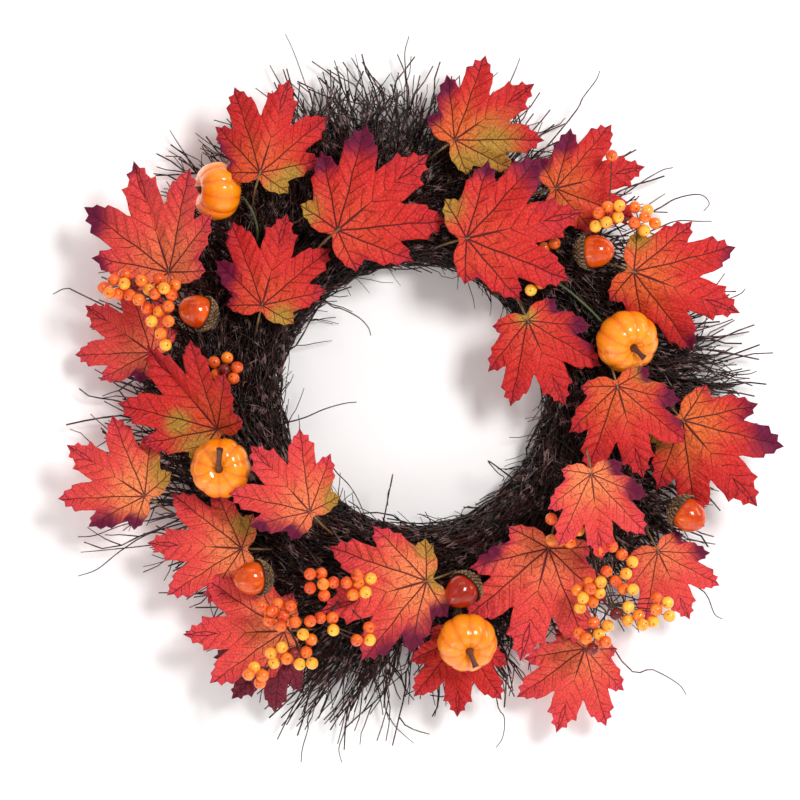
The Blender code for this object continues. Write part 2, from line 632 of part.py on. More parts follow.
def build_spray(name, foot_place, fork_height, rosettes):
    """Berries on short stems that spring from one branched stem, as a single wired spray."""
    fork = place_at(*foot_place, fork_height)
    foot = on_bunch(fork, SPRAY_STEM_R)
    berries = bmesh.new()
    stems = bmesh.new()
    rod(stems, foot, fork, SPRAY_STEM_R, 6)
    bmesh.ops.create_icosphere(stems, subdivisions=1, radius=1.5 * SPRAY_STEM_R,
                               matrix=Matrix.Translation(fork))
    places = []
    hubs = []
    for x, z, height, count in rosettes:
        centre = place_at(x, z, height)
        hub = centre + Vector((0, 2.3 * BERRY_R, 0))
        rod(stems, fork, hub, SPRAY_STEM_R * 0.8, 5)
        bmesh.ops.create_icosphere(stems, subdivisions=1, radius=1.5 * SPRAY_STEM_R,
                                   matrix=Matrix.Translation(hub))
        places += spiral(centre, count)
        hubs += [hub] * count
    settle(places, [hub.y - 1.7 * BERRY_R for hub in hubs])
    for hub, place in zip(hubs, places):
        bmesh.ops.create_icosphere(berries, subdivisions=1, radius=BERRY_R,
                                   matrix=Matrix.Translation(place))
        rod(stems, hub, place, BERRY_STEM_R, 3)
    spray = add_part(name, to_mesh(berries, name), BERRY_SKIN)
    combine(spray, add_tool(name + "_stems", to_mesh(stems, name + "_stems")))


def main():
    build_frame()
    build_hanging_loop()
    for name, (middle_angle, reach) in BUNCH_PLACES.items():
        bunch = build_bunch(name, middle_angle, reach * MM)
        if name == "twig_bunch_top":
            cut_loop_recess(bunch)
    build_binding_wire()
    for name, sizes in LEAVES.items():
        build_leaf(name, *sizes)
    for name, sizes in PUMPKINS.items():
        build_pumpkin(name, *sizes)
    for name, sizes in ACORNS.items():
        build_acorn(name, *sizes)
    for name, sizes in SPRAYS.items():
        build_spray(name, *sizes)


main()
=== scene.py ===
"""The looks of the harvest door wreath: twigs, fabric leaves, pumpkins, acorns and berries on its frame."""
import math
import random

import bmesh
import bpy
from mathutils import Matrix, Vector, noise


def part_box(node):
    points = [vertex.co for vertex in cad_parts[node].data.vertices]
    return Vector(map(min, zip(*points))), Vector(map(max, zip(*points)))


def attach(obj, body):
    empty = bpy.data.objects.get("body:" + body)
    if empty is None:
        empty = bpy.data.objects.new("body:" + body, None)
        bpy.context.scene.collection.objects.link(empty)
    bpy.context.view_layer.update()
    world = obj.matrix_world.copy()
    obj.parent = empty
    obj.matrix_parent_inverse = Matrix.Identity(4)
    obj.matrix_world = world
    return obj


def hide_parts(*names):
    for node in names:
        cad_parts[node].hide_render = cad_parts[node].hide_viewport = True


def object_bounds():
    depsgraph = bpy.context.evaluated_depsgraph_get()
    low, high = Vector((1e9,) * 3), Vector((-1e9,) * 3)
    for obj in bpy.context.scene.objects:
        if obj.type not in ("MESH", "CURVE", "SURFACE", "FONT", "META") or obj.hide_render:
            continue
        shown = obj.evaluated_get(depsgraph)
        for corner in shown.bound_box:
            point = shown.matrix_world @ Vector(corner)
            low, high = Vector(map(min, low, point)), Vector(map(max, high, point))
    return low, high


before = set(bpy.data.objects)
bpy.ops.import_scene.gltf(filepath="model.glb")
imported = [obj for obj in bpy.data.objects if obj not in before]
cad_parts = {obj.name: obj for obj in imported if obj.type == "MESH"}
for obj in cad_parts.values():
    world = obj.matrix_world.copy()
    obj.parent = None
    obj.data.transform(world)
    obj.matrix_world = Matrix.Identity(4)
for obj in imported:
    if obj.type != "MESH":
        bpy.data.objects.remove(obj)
cad_low, cad_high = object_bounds()

MM = 0.001
DEG = math.pi / 180
BODY = "wreath"

# The ring's centre, the flat front of the twigs and their back, read from the frame.
frame_low, frame_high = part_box("wire_frame")
RING_X = (frame_low.x + frame_high.x) / 2
RING_Z = (frame_low.z + frame_high.z) / 2
bunch_low, bunch_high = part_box("twig_bunch_right")
FRONT_Y = bunch_low.y
BACK_Y = FRONT_Y + 34 * MM
DOOR_Y = bunch_high.y
OPENING_R = 94 * MM
EYES_Z = -22 * MM                  # the hanging loop's eyes, round the inner ring
EYES_ROOM_X = 21 * MM              # the twigs leave a recess for them
EYES_ROOM_Z = 14 * MM
EYES_ROOM_Y = -9.2 * MM
CORE_R = 150 * MM


def at(x, z, height=0.0):
    """A place in mm from the ring's centre, and in mm over the front of the twigs."""
    return Vector((RING_X + x * MM, FRONT_Y - height * MM, RING_Z + z * MM))


# ---------------------------------------------------------------- camera and light

VIEW_WIDTH = 560 * MM
VIEW_DEPTH = FRONT_Y - 22 * MM
CAMERA_RUN = 2.3

camera_data = bpy.data.cameras.new("front_camera")
camera = bpy.data.objects.new("front_camera", camera_data)
bpy.context.scene.collection.objects.link(camera)
camera_data.sensor_width = 36.0
camera_data.lens = camera_data.sensor_width * CAMERA_RUN / VIEW_WIDTH
camera_data.clip_end = 20.0
camera.location = (RING_X - 8.4 * MM, VIEW_DEPTH - CAMERA_RUN, RING_Z - 3.5 * MM)
camera.rotation_euler = (math.pi / 2, 0.0, 0.0)
bpy.context.scene.camera = camera


def softbox(name, place, size, power):
    """A rectangular lamp aimed at the middle of the ring."""
    data = bpy.data.lights.new(name, "AREA")
    data.shape = "RECTANGLE"
    data.size, data.size_y = size
    data.energy = power
    lamp = bpy.data.objects.new(name, data)
    bpy.context.scene.collection.objects.link(lamp)
    lamp.location = place
    target = Vector((RING_X, FRONT_Y, RING_Z))
    lamp.rotation_euler = (target - Vector(place)).to_track_quat("-Z", "Y").to_euler()


softbox("key_softbox", (0.78, -1.7, 0.40), (0.42, 0.52), 26)
softbox("fill_softbox", (-1.3, -1.9, 0.5), (1.2, 1.2), 4)
softbox("top_softbox", (0.0, -1.0, 1.5), (1.2, 0.6), 3)
softbox("side_strip", (1.35, -0.55, 0.50), (0.30, 0.90), 4.5)
softbox("low_strip", (-0.9, -0.8, -1.0), (0.90, 0.25), 2.5)
softbox("back_softbox", (-0.9, 1.5, 0.6), (1.2, 1.2), 48)

world = bpy.data.worlds.new("studio")
bpy.context.scene.world = world
world.use_nodes = True
sky = world.node_tree.nodes["Background"].inputs
sky["Color"].default_value = (1.0, 1.0, 1.0, 1.0)
sky["Strength"].default_value = 0.38
bpy.context.scene.view_settings.view_transform = "Standard"


# ---------------------------------------------------------------- finishes

class Value:
    """A number in a finish. Arithmetic on it adds the Math nodes."""

    def __init__(self, finish, socket):
        self.finish = finish
        self.socket = socket

    def __add__(self, other):
        return self.finish.maths("ADD", self, other)

    def __radd__(self, other):
        return self.finish.maths("ADD", other, self)

    def __sub__(self, other):
        return self.finish.maths("SUBTRACT", self, other)

    def __rsub__(self, other):
        return self.finish.maths("SUBTRACT", other, self)

    def __mul__(self, other):
        return self.finish.maths("MULTIPLY", self, other)

    def __rmul__(self, other):
        return self.finish.maths("MULTIPLY", other, self)

    def __truediv__(self, other):
        return self.finish.maths("DIVIDE", self, other)

    def __gt__(self, other):
        return self.finish.maths("GREATER_THAN", self, other)

    def __abs__(self):
        return self.finish.maths("ABSOLUTE", self)


class Finish:
    """One material. Constants go straight on the shader's sockets, the rest is linked."""

    def __init__(self, name, **constants):
        self.material = bpy.data.materials.new(name)
        self.material.use_nodes = True
        self.tree = self.material.node_tree
        self.shader = self.tree.nodes["Principled BSDF"]
        for socket, value in constants.items():
            label = socket.replace("_", " ").title().replace("Ior", "IOR")
            if isinstance(value, tuple) and len(value) == 3:
                value = (*value, 1.0)
            self.shader.inputs[label].default_value = value

    def node(self, kind, settings=None, inputs=None, output=0):
        made = self.tree.nodes.new("ShaderNode" + kind)
        for key, value in (settings or {}).items():
            setattr(made, key, value)
        for key, value in (inputs or {}).items():
            self.feed(made.inputs[key], value)
        return Value(self, made.outputs[output])

    def feed(self, socket, value):
        if isinstance(value, Value):
            self.tree.links.new(value.socket, socket)
        elif isinstance(value, tuple) and len(value) == 3 and socket.type == "RGBA":
            socket.default_value = (*value, 1.0)
        else:
            socket.default_value = value

    def maths(self, operation, *values):
        return self.node("Math", {"operation": operation}, dict(enumerate(values)))

    def set(self, label, value):
        self.feed(self.shader.inputs[label], value)

    def mix(self, share, first, second):
        settings = {"data_type": "RGBA", "blend_type": "MIX", "clamp_factor": True}
        return self.node("Mix", settings, {0: share, 6: first, 7: second}, 2)

    def step(self, value, low, high, start=0.0, end=1.0):
        """A smooth rise or fall from start to end as the value goes from low to high."""
        settings = {"interpolation_type": "SMOOTHSTEP"}
        inputs = {"Value": value, "From Min": low, "From Max": high, "To Min": start, "To Max": end}
        return self.node("MapRange", settings, inputs)

    def places(self):
        return self.node("TexCoord", output="Object")

    def noise(self, where, scale, detail=2.0, roughness=0.5):
        inputs = {"Vector": where, "Scale": scale, "Detail": detail, "Roughness": roughness}
        return self.node("TexNoise", None, inputs)

    def bump(self, height, strength, distance):
        inputs = {"Height": height, "Strength": strength, "Distance": distance}
        self.set("Normal", self.node("Bump", None, inputs))


def bark_finish(name, dark, light, glint_colour, roughness):
    """Dark bark with painted glints: short pale stretches along the twig stand in for glints of light."""
    finish = Finish(name, specular_ior_level=0.24)
    where = finish.places()
    patches = finish.noise(where, 90.0, 3.0)
    grain = finish.noise(where, 900.0, 2.0)
    mottle = finish.step(patches * 0.7 + grain * 0.3, 0.42, 0.66)
    # Painted highlight: short pale stretches in the glint colour stand in for glints of light on the twigs.
    painted_glints = finish.step(finish.noise(where, 170.0, 0.0), 0.60, 0.72)
    finish.set("Base Color", finish.mix(painted_glints, finish.mix(mottle, dark, light), glint_colour))
    finish.set("Roughness", finish.step(grain, 0.3, 0.7, roughness - 0.12, roughness + 0.12))
    finish.bump(grain, 0.5, 0.3 * MM)
    return finish.material


def leaf_finish(name, red, orange, crimson, vein, shine):
    """Printed fabric: dark main veins and branches, a warm middle, and tinted tips and base."""
    finish = Finish(name, sheen_weight=shine, sheen_roughness=0.45, specular_ior_level=0.16)
    cut = finish.node("UVMap", {"uv_map": "cut"})
    forward = finish.node("SeparateXYZ", None, {0: cut}, 0) * 1.5 - 0.4
    aside = finish.node("SeparateXYZ", None, {0: cut}, 1) * 1.5 - 0.75
    wander = (finish.noise(cut, 3.5, 1.0) - 0.5) * 0.17
    radius = finish.maths("SQRT", forward * forward + aside * aside)
    angle = abs(finish.maths("ARCTAN2", aside, forward)) + wander
    second, third, fourth = angle > 0.33, angle > 0.86, angle > 1.42
    off = angle - (second * 0.61 + third * 0.47 + fourth * 0.75)
    length = 1.0 - second * 0.06 - third * 0.26 - fourth * 0.30
    along = radius * finish.maths("COSINE", off)
    across = abs(radius * finish.maths("SINE", off))
    side = (off > 0.0) * 0.45
    half_width = 0.0050 - 0.0040 * (along / length)
    main = finish.step(across - half_width, 0.0, 0.006, 1.0, 0.0)
    ripple = (finish.noise(cut, 14.0, 1.0) - 0.5) * 0.55
    phase = (along - across * (0.85 + across * 1.2)) / 0.125 + side + ripple
    stripe = abs(finish.maths("FRACT", phase) - 0.5)
    branch = finish.step(stripe, 0.015, 0.065, 0.95, 0.0) * finish.step(across, 0.0, 0.24, 1.0, 0.30)
    cells = finish.node("TexVoronoi", {"feature": "DISTANCE_TO_EDGE"},
                        {"Vector": cut, "Scale": 46.0, "Randomness": 0.9})
    net = finish.step(cells, 0.01, 0.11, 0.48, 0.0)
    lines = finish.maths("MAXIMUM", finish.maths("MAXIMUM", main, branch), net)
    tint = finish.node("Attribute", {"attribute_name": "tint"})
    purple = finish.node("SeparateColor", None, {0: tint}, 0)
    olive = finish.node("SeparateColor", None, {0: tint}, 1)
    warm = finish.node("SeparateColor", None, {0: tint}, 2)
    cloud = finish.noise(cut, 3.2, 3.0, 0.6)
    flecks = finish.noise(cut, 60.0, 2.0, 0.6)
    glow = finish.step(radius + cloud * 0.5 + across * 1.6, 0.35, 1.0, 1.0, 0.0) * warm
    rim = finish.step(radius / length + cloud * 0.5, 0.88, 1.28)
    colour = finish.mix(glow, red, orange)
    colour = finish.mix(rim * 0.90, colour, crimson)
    colour = finish.mix(finish.step(flecks, 0.35, 0.75, 0.0, 0.20), colour, (0.85, 0.17, 0.09))
    colour = finish.mix(finish.step(olive + (cloud - 0.5) * 0.7, 0.15, 0.95), colour, (0.42, 0.22, 0.030))
    outer = finish.step(radius / length + cloud * 0.4, 0.55, 1.15, 0.5, 1.25)
    stain = finish.step(purple * outer + (cloud - 0.5) * 0.7, 0.20, 0.95)
    colour = finish.mix(stain, colour, (0.135, 0.004, 0.036))
    finish.set("Base Color", finish.mix(lines * 0.95, colour, vein))
    finish.set("Roughness", finish.step(flecks, 0.3, 0.7, 0.52, 0.72))
    finish.bump(finish.step(main + branch * 0.7, 0.0, 1.0, 1.0, 0.0) + flecks * 0.12, 0.55, 0.9 * MM)
    return finish.material


def pumpkin_finish():
    """Glossy paint, yellower on the ribs and deep orange in the furrows: the darker furrows are painted
    shade, mixed with tone that varies at random.
    """
    finish = Finish("pumpkin_paint", coat_weight=0.7, coat_roughness=0.05, specular_ior_level=0.25)
    rib = finish.node("Attribute", {"attribute_name": "rib"}, None, 2)
    cloud = finish.noise(finish.places(), 55.0, 3.0, 0.6)
    # Painted shade: the furrows get the darker orange, with random tone mixed in.
    shade = finish.step(rib * 0.45 + cloud * 0.8, 0.20, 1.0)
    finish.set("Base Color", finish.mix(shade, (0.84, 0.150, 0.002), (0.97, 0.28, 0.004)))
    finish.set("Roughness", finish.step(cloud, 0.3, 0.7, 0.22, 0.36))
    finish.bump(finish.noise(finish.places(), 260.0, 2.0), 0.15, 0.5 * MM)
    return finish.material


def glossy_finish(name, deep, bright, low, high, roughness=0.18, scale=120.0):
    finish = Finish(name, coat_weight=0.6, coat_roughness=0.07, specular_ior_level=0.2)
    where = finish.places()
    cloud = finish.noise(where, scale, 3.0, 0.6)
    specks = finish.noise(where, scale * 9, 2.0)
    finish.set("Base Color", finish.mix(finish.step(cloud * 0.8 + specks * 0.2, low, high), deep, bright))
    finish.set("Roughness", finish.step(specks, 0.3, 0.7, roughness - 0.05, roughness + 0.10))
    finish.bump(specks, 0.12, 0.2 * MM)
    return finish.material


def matt_finish(name, dark, light, scale=300.0, roughness=0.6, depth=0.4):
    finish = Finish(name)
    cloud = finish.noise(finish.places(), scale, 3.0, 0.6)
    finish.set("Base Color", finish.mix(finish.step(cloud, 0.35, 0.65), dark, light))
    finish.set("Roughness", finish.step(cloud, 0.3, 0.7, roughness - 0.1, roughness + 0.1))
    finish.bump(cloud, 0.6, depth * MM)
    return finish.material


def wire_finish(name, dark, light, metallic):
    finish = Finish(name, metallic=metallic)
    cloud = finish.noise(finish.places(), 220.0, 3.0, 0.6)
    finish.set("Base Color", finish.mix(finish.step(cloud, 0.4, 0.7), dark, light))
    finish.set("Roughness", finish.step(cloud, 0.3, 0.7, 0.28, 0.5))
    finish.bump(cloud, 0.25, 0.2 * MM)
    return finish.material


# Each bark's third colour is the pale colour of its painted glints.
BARK = (
    bark_finish("bark_black_brown", (0.008, 0.002, 0.001), (0.040, 0.011, 0.008), (0.17, 0.095, 0.085), 0.26),
    bark_finish("bark_red_brown", (0.020, 0.005, 0.003), (0.095, 0.032, 0.025), (0.36, 0.22, 0.20), 0.28),
    bark_finish("bark_grey", (0.040, 0.018, 0.016), (0.220, 0.140, 0.125), (0.60, 0.47, 0.44), 0.28),
)
# Painted shade: the near-black filler in the heart of the twigs stands for the shade deep in the twig mass.
CORE_PAINTED_SHADE = matt_finish("core_bark_painted_shade", (0.007, 0.003, 0.003), (0.022, 0.010, 0.009), 700.0, 0.8, 1.0)
LEAF_RED = leaf_finish("leaf_fabric_red", (0.57, 0.014, 0.014), (0.68, 0.13, 0.022),
                       (0.40, 0.006, 0.028), (0.055, 0.004, 0.008), 0.0)
LEAF_CORAL = leaf_finish("leaf_fabric_coral", (0.74, 0.054, 0.046), (0.86, 0.24, 0.075),
                         (0.60, 0.020, 0.062), (0.080, 0.006, 0.012), 0.08)
LEAF_DARK = leaf_finish("leaf_fabric_reverse", (0.15, 0.006, 0.030), (0.22, 0.015, 0.03),
                        (0.09, 0.004, 0.025), (0.04, 0.003, 0.01), 0.04)
LEAF_STEM = matt_finish("leaf_stem_olive", (0.07, 0.040, 0.012), (0.18, 0.095, 0.022), 180.0, 0.5, 0.2)
PUMPKIN = pumpkin_finish()
STALK = matt_finish("pumpkin_stalk_brown", (0.045, 0.010, 0.006), (0.13, 0.028, 0.015), 260.0, 0.5, 0.3)
GREEN_WIRE = matt_finish("pick_green", (0.035, 0.060, 0.018), (0.08, 0.11, 0.03), 200.0, 0.45, 0.1)
NUT = glossy_finish("acorn_nut_red", (0.46, 0.030, 0.002), (0.78, 0.105, 0.003), 0.3, 0.7, 0.14, 60.0)
NUT_DARK = glossy_finish("acorn_nut_dark_red", (0.22, 0.008, 0.002), (0.46, 0.022, 0.003),
                         0.3, 0.7, 0.14, 60.0)
CAP = matt_finish("acorn_cap_dark", (0.012, 0.007, 0.004), (0.035, 0.018, 0.008), 400.0, 0.7, 0.3)
CAP_SCALE = matt_finish("acorn_cap_gold", (0.022, 0.010, 0.005), (0.36, 0.20, 0.08), 620.0, 0.5, 0.3)
BERRY = {
    "r": glossy_finish("berry_red_orange", (0.62, 0.045, 0.006), (0.86, 0.16, 0.016), 0.35, 0.65),
    "o": glossy_finish("berry_orange", (0.80, 0.115, 0.010), (0.92, 0.26, 0.020), 0.35, 0.65),
    "y": glossy_finish("berry_yellow", (0.88, 0.27, 0.020), (0.95, 0.50, 0.045), 0.35, 0.65),
    "m": glossy_finish("berry_maroon", (0.10, 0.006, 0.006), (0.22, 0.014, 0.010), 0.35, 0.65),
}
CALYX = matt_finish("berry_calyx", (0.02, 0.008, 0.004), (0.06, 0.02, 0.008), 900.0, 0.7, 0.1)
SPRAY_STEM = matt_finish("spray_stem", (0.014, 0.006, 0.004), (0.055, 0.024, 0.011), 220.0, 0.5, 0.2)
IRON = wire_finish("frame_iron", (0.012, 0.011, 0.010), (0.045, 0.038, 0.034), 0.7)
LOOP = wire_finish("loop_wire", (0.10, 0.095, 0.09), (0.22, 0.20, 0.19), 0.9)
BINDING = wire_finish("binding_wire_brown", (0.030, 0.017, 0.010), (0.09, 0.055, 0.03), 0.6)


# ---------------------------------------------------------------- tools for the pieces

def finished(name, mesh, materials, nodes=()):
    """A finished piece in its place, riding on its body and standing for its CAD nodes."""
    piece = bpy.data.objects.new(name, mesh)
    for material in materials:
        mesh.materials.append(material)
    mesh.shade_smooth()
    bpy.context.scene.collection.objects.link(piece)
    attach(piece, BODY)
    if nodes:
        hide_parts(*nodes)
    return piece


def mesh_from(bm, name):
    mesh = bpy.data.meshes.new(name)
    bm.to_mesh(mesh)
    bm.free()
    return mesh


def tubes(name, runs, sides=0):
    """Round stems in one mesh. Each run is (points, radius, thinning to its end, material number)."""
    curve = bpy.data.curves.new(name, "CURVE")
    curve.dimensions = "3D"
    curve.bevel_depth = 1.0
    curve.bevel_resolution = sides
    curve.use_fill_caps = True
    for points, radius, thinning, material in runs:
        spline = curve.splines.new("POLY")
        spline.points.add(len(points) - 1)
        spline.material_index = material
        last = len(points) - 1
        for number, (slot, point) in enumerate(zip(spline.points, points)):
            slot.co = (*point, 1.0)
            here = radius[number] if isinstance(radius, list) else radius
            slot.radius = here * (1.0 + (thinning - 1.0) * number / last)
    guide = bpy.data.objects.new(name, curve)
    bpy.context.scene.collection.objects.link(guide)
    bpy.context.view_layer.update()
    mesh = bpy.data.meshes.new_from_object(guide.evaluated_get(bpy.context.evaluated_depsgraph_get()))
    bpy.data.objects.remove(guide, do_unlink=True)
    bpy.data.curves.remove(curve)
    mesh.name = name
    return mesh


def smooth_run(points, per_span=6):
    """A smooth curve through a few points."""
    points = [Vector(point) for point in points]
    ends = [2 * points[0] - points[1]] + points + [2 * points[-1] - points[-2]]
    run = []
    for a, b, c, d in zip(ends, ends[1:], ends[2:], ends[3:]):
        for step in range(per_span):
            t = step / per_span
            run.append(0.5 * (2 * b + (c - a) * t + (2 * a - 5 * b + 4 * c - d) * t * t
                              + (3 * b - 3 * c + d - a) * t ** 3))
    return run + [points[-1]]


def paint(made, number):
    """Give the faces of a shape just added to a mesh their material."""
    for face in {face for vertex in made["verts"] for face in vertex.link_faces}:
        face.material_index = number


def turn_to(axis):
    """The turn that stands a shape's own Z along an axis."""
    return Vector(axis).normalized().to_track_quat("Z", "Y").to_matrix().to_4x4()


# ---------------------------------------------------------------- twigs

# Each bunch: the angle of its middle.
BUNCHES = {
    "twig_bunch_top": 90,
    "twig_bunch_top_right": 45,
    "twig_bunch_right": 0,
    "twig_bunch_bottom_right": -45,
    "twig_bunch_bottom": -90,
    "twig_bunch_bottom_left": -135,
    "twig_bunch_left": 180,
    "twig_bunch_top_left": 135,
}
# The fans round the outside: angle of the middle, half the spread of the roots, how far the longest
# twigs reach from the centre in mm, how many there are, how far they lean out from the run of the
# ring at root and tip, and how much that varies.
FANS = (
    (106, 12, 243, 210, 52, 92, 18), (87, 9, 234, 110, 38, 66, 18), (122, 8, 238, 30, 66, 84, 16),
    (129, 6, 240, 60, 58, 98, 24), (141, 10, 236, 100, 50, 96, 22), (66, 8, 220, 45, 40, 66, 22),
    (50, 7, 238, 40, 40, 66, 22),
    (33, 8, 236, 44, 34, 58, 10), (20, 7, 215, 30, 40, 66, 16), (6, 10, 242, 180, 58, 84, 10),
    (-10, 6, 214, 40, 52, 70, 14), (-20, 6, 222, 60, 54, 76, 12), (-33, 10, 234, 130, 54, 84, 14),
    (-50, 8, 222, 36, 52, 76, 18),
    (-66, 9, 226, 60, 50, 84, 18), (-83, 9, 224, 80, 62, 92, 15), (-101, 9, 252, 200, 46, 68, 10),
    (-122, 7, 226, 40, 46, 76, 18), (-138, 9, 230, 60, 46, 66, 16), (-155, 6, 250, 34, 54, 66, 8),
    (-170, 7, 224, 40, 46, 66, 16), (176, 8, 234, 60, 48, 76, 18), (158, 9, 226, 50, 50, 76, 20),
)
# Nothing grows past this room round the frame.
ROOM_LOW = cad_low - 0.03 * (cad_high - cad_low) - Vector((8, 8, 8)) * MM
ROOM_HIGH = cad_high + 0.03 * (cad_high - cad_low) + Vector((8, 8, 8)) * MM


def front_depth(radius):
    """How thick the twigs lie at a radius, from their back over the frame to their front."""
    if radius < OPENING_R + 10 * MM:
        return (17 + 17 * max(0.0, (radius - OPENING_R) / (10 * MM))) * MM
    if radius < CORE_R:
        return 34 * MM
    return (34 - 22 * min(1.0, (radius - CORE_R) / (85 * MM))) * MM


def twig(rng, angle, radius, depth, length, lean, kink, steps):
    """Points of one twig: it runs clockwise, leans outwards more and more, and stays in the bunch."""
    x, z = radius * math.cos(angle), radius * math.sin(angle)
    stride = length / steps
    bend = rng.gauss(0, 6) * DEG
    edge = OPENING_R - abs(rng.gauss(1, 3)) * MM
    points = []
    for step in range(steps + 1):
        share = step / steps
        distance = math.hypot(x, z)
        thickness = front_depth(distance)
        back = DOOR_Y if distance > 165 * MM else BACK_Y
        y = BACK_Y - thickness * min(1.0, max(0.0, depth)) + rng.gauss(0, 0.9) * MM
        point = Vector((RING_X + x, min(y, back - 0.8 * MM), RING_Z + z))
        if abs(point.x) < EYES_ROOM_X and abs(point.z - EYES_Z) < EYES_ROOM_Z:
            point.y = min(point.y, EYES_ROOM_Y)
        inside = all(low <= part <= high for low, part, high in zip(ROOM_LOW, point, ROOM_HIGH))
        if not inside or distance < edge:
            break
        points.append(point)
        around = math.atan2(z, x) - math.pi / 2
        tilt = (lean[0] + (lean[1] - lean[0]) * share) * DEG
        bend = 0.62 * bend + rng.gauss(0, kink * (2.6 if rng.random() < 0.16 else 1.0)) * DEG
        depth += rng.gauss(0, 0.06)
        x += stride * math.cos(around + tilt + bend)
        z += stride * math.sin(around + tilt + bend)
    return points


def side_shoot(rng, points):
    """A short shoot that springs from the middle of a twig."""
    root = rng.randrange(2, len(points) - 2)
    along = (points[root + 1] - points[root - 1]).normalized()
    turn = Matrix.Rotation(rng.choice((-1, 1)) * rng.uniform(22, 48) * DEG, 3, "Y")
    run = [points[root]]
    for _ in range(4):
        turn = Matrix.Rotation(rng.gauss(0, 9) * DEG, 3, "Y") @ turn
        run.append(run[-1] + turn @ along * rng.uniform(5, 9) * MM)
        run[-1].y = min(run[-1].y, DOOR_Y - 1.2 * MM)
    return run


def bark_number(rng):
    pick = rng.random()
    return 0 if pick < 0.60 else (1 if pick < 0.86 else 2)


def grow_bunch(name, middle):
    rng = random.Random(name)
    start = (middle + 22.5) * DEG
    runs = []

    def add(points, radius, thinning):
        if len(points) > 2:
            runs.append((points, radius * MM, thinning, bark_number(rng)))

    for _ in range(600):
        radius = (OPENING_R / MM + 1 + 56 * rng.random() ** 1.15) * MM
        angle = start - rng.uniform(-0.12, 0.80)
        astray = 34 if rng.random() < 0.16 else 11
        lean = (rng.gauss(3, astray), rng.gauss(15, astray + 4))
        points = twig(rng, angle, radius, rng.uniform(0.0, 1.05), rng.uniform(45, 100) * MM, lean, 12, 9)
        add(points, rng.uniform(0.38, 0.84), 0.6)
        if len(points) > 6 and rng.random() < 0.2:
            add(side_shoot(rng, points), rng.uniform(0.3, 0.5), 0.6)
    for _ in range(90):
        radius = rng.uniform(94, 160) * MM
        angle = start - rng.uniform(-0.1, 0.78)
        lean = (rng.gauss(0, 40), rng.gauss(20, 60))
        points = twig(rng, angle, radius, rng.uniform(0.8, 1.15), rng.uniform(25, 60) * MM, lean, 20, 9)
        add(points, rng.uniform(0.26, 0.42), 0.6)
    for fan_middle, spread, reach, count, root_lean, tip_lean, vary in FANS:
        if abs((fan_middle - middle + 180) % 360 - 180) > 22.5:
            continue
        for _ in range(count):
            radius = rng.uniform(116, 156) * MM
            angle = (fan_middle + rng.uniform(-1, 1) * spread + 7) * DEG
            swing = rng.gauss(0, vary)
            lean = (root_lean + swing * 0.7, tip_lean + swing)
            room = (reach * MM - radius) * rng.uniform(0.45, 1.0)
            kink = 14 if vary > 11 else 7
            points = twig(rng, angle, radius, rng.uniform(0.0, 0.9), room / 0.86, lean, kink, 10)
            thickness = rng.uniform(0.55, 0.98)
            add(points, thickness, 0.6)
            for _ in range(rng.choice((0, 1, 1, 2))):
                if len(points) > 6:
                    add(side_shoot(rng, points), thickness * 0.65, 0.6)
    mesh = tubes(name.replace("twig_bunch", "twigs"), runs)
    finished(mesh.name, mesh, BARK, [name])


for bunch_name, bunch_middle in BUNCHES.items():
    grow_bunch(bunch_name, bunch_middle)


def pack_core():
    """The dark heart of the twigs, packed round the frame's front: a near-black filler that is painted shade
    for the shaded depths of the twig mass.
    """
    bm = bmesh.new()
    bmesh.ops.create_circle(bm, segments=12, radius=1.0)
    for vertex in bm.verts:
        across, deep = 21 * MM * vertex.co.x, 10 * MM * vertex.co.y
        vertex.co = Vector((RING_X + 122 * MM + across, BACK_Y - 15 * MM + deep, RING_Z))
    bmesh.ops.spin(bm, geom=bm.verts[:] + bm.edges[:], cent=(RING_X, 0, RING_Z), axis=(0, 1, 0),
                   angle=math.tau, steps=96, use_merge=True)
    for vertex in bm.verts:
        wave = noise.noise(vertex.co * 60)
        outward = Vector((vertex.co.x - RING_X, 0, vertex.co.z - RING_Z)).normalized()
        vertex.co += outward * wave * 4 * MM + Vector((0, wave * 2 * MM, 0))
    bmesh.ops.recalc_face_normals(bm, faces=bm.faces)
    finished("twig_core", mesh_from(bm, "twig_core"), [CORE_PAINTED_SHADE])


pack_core()

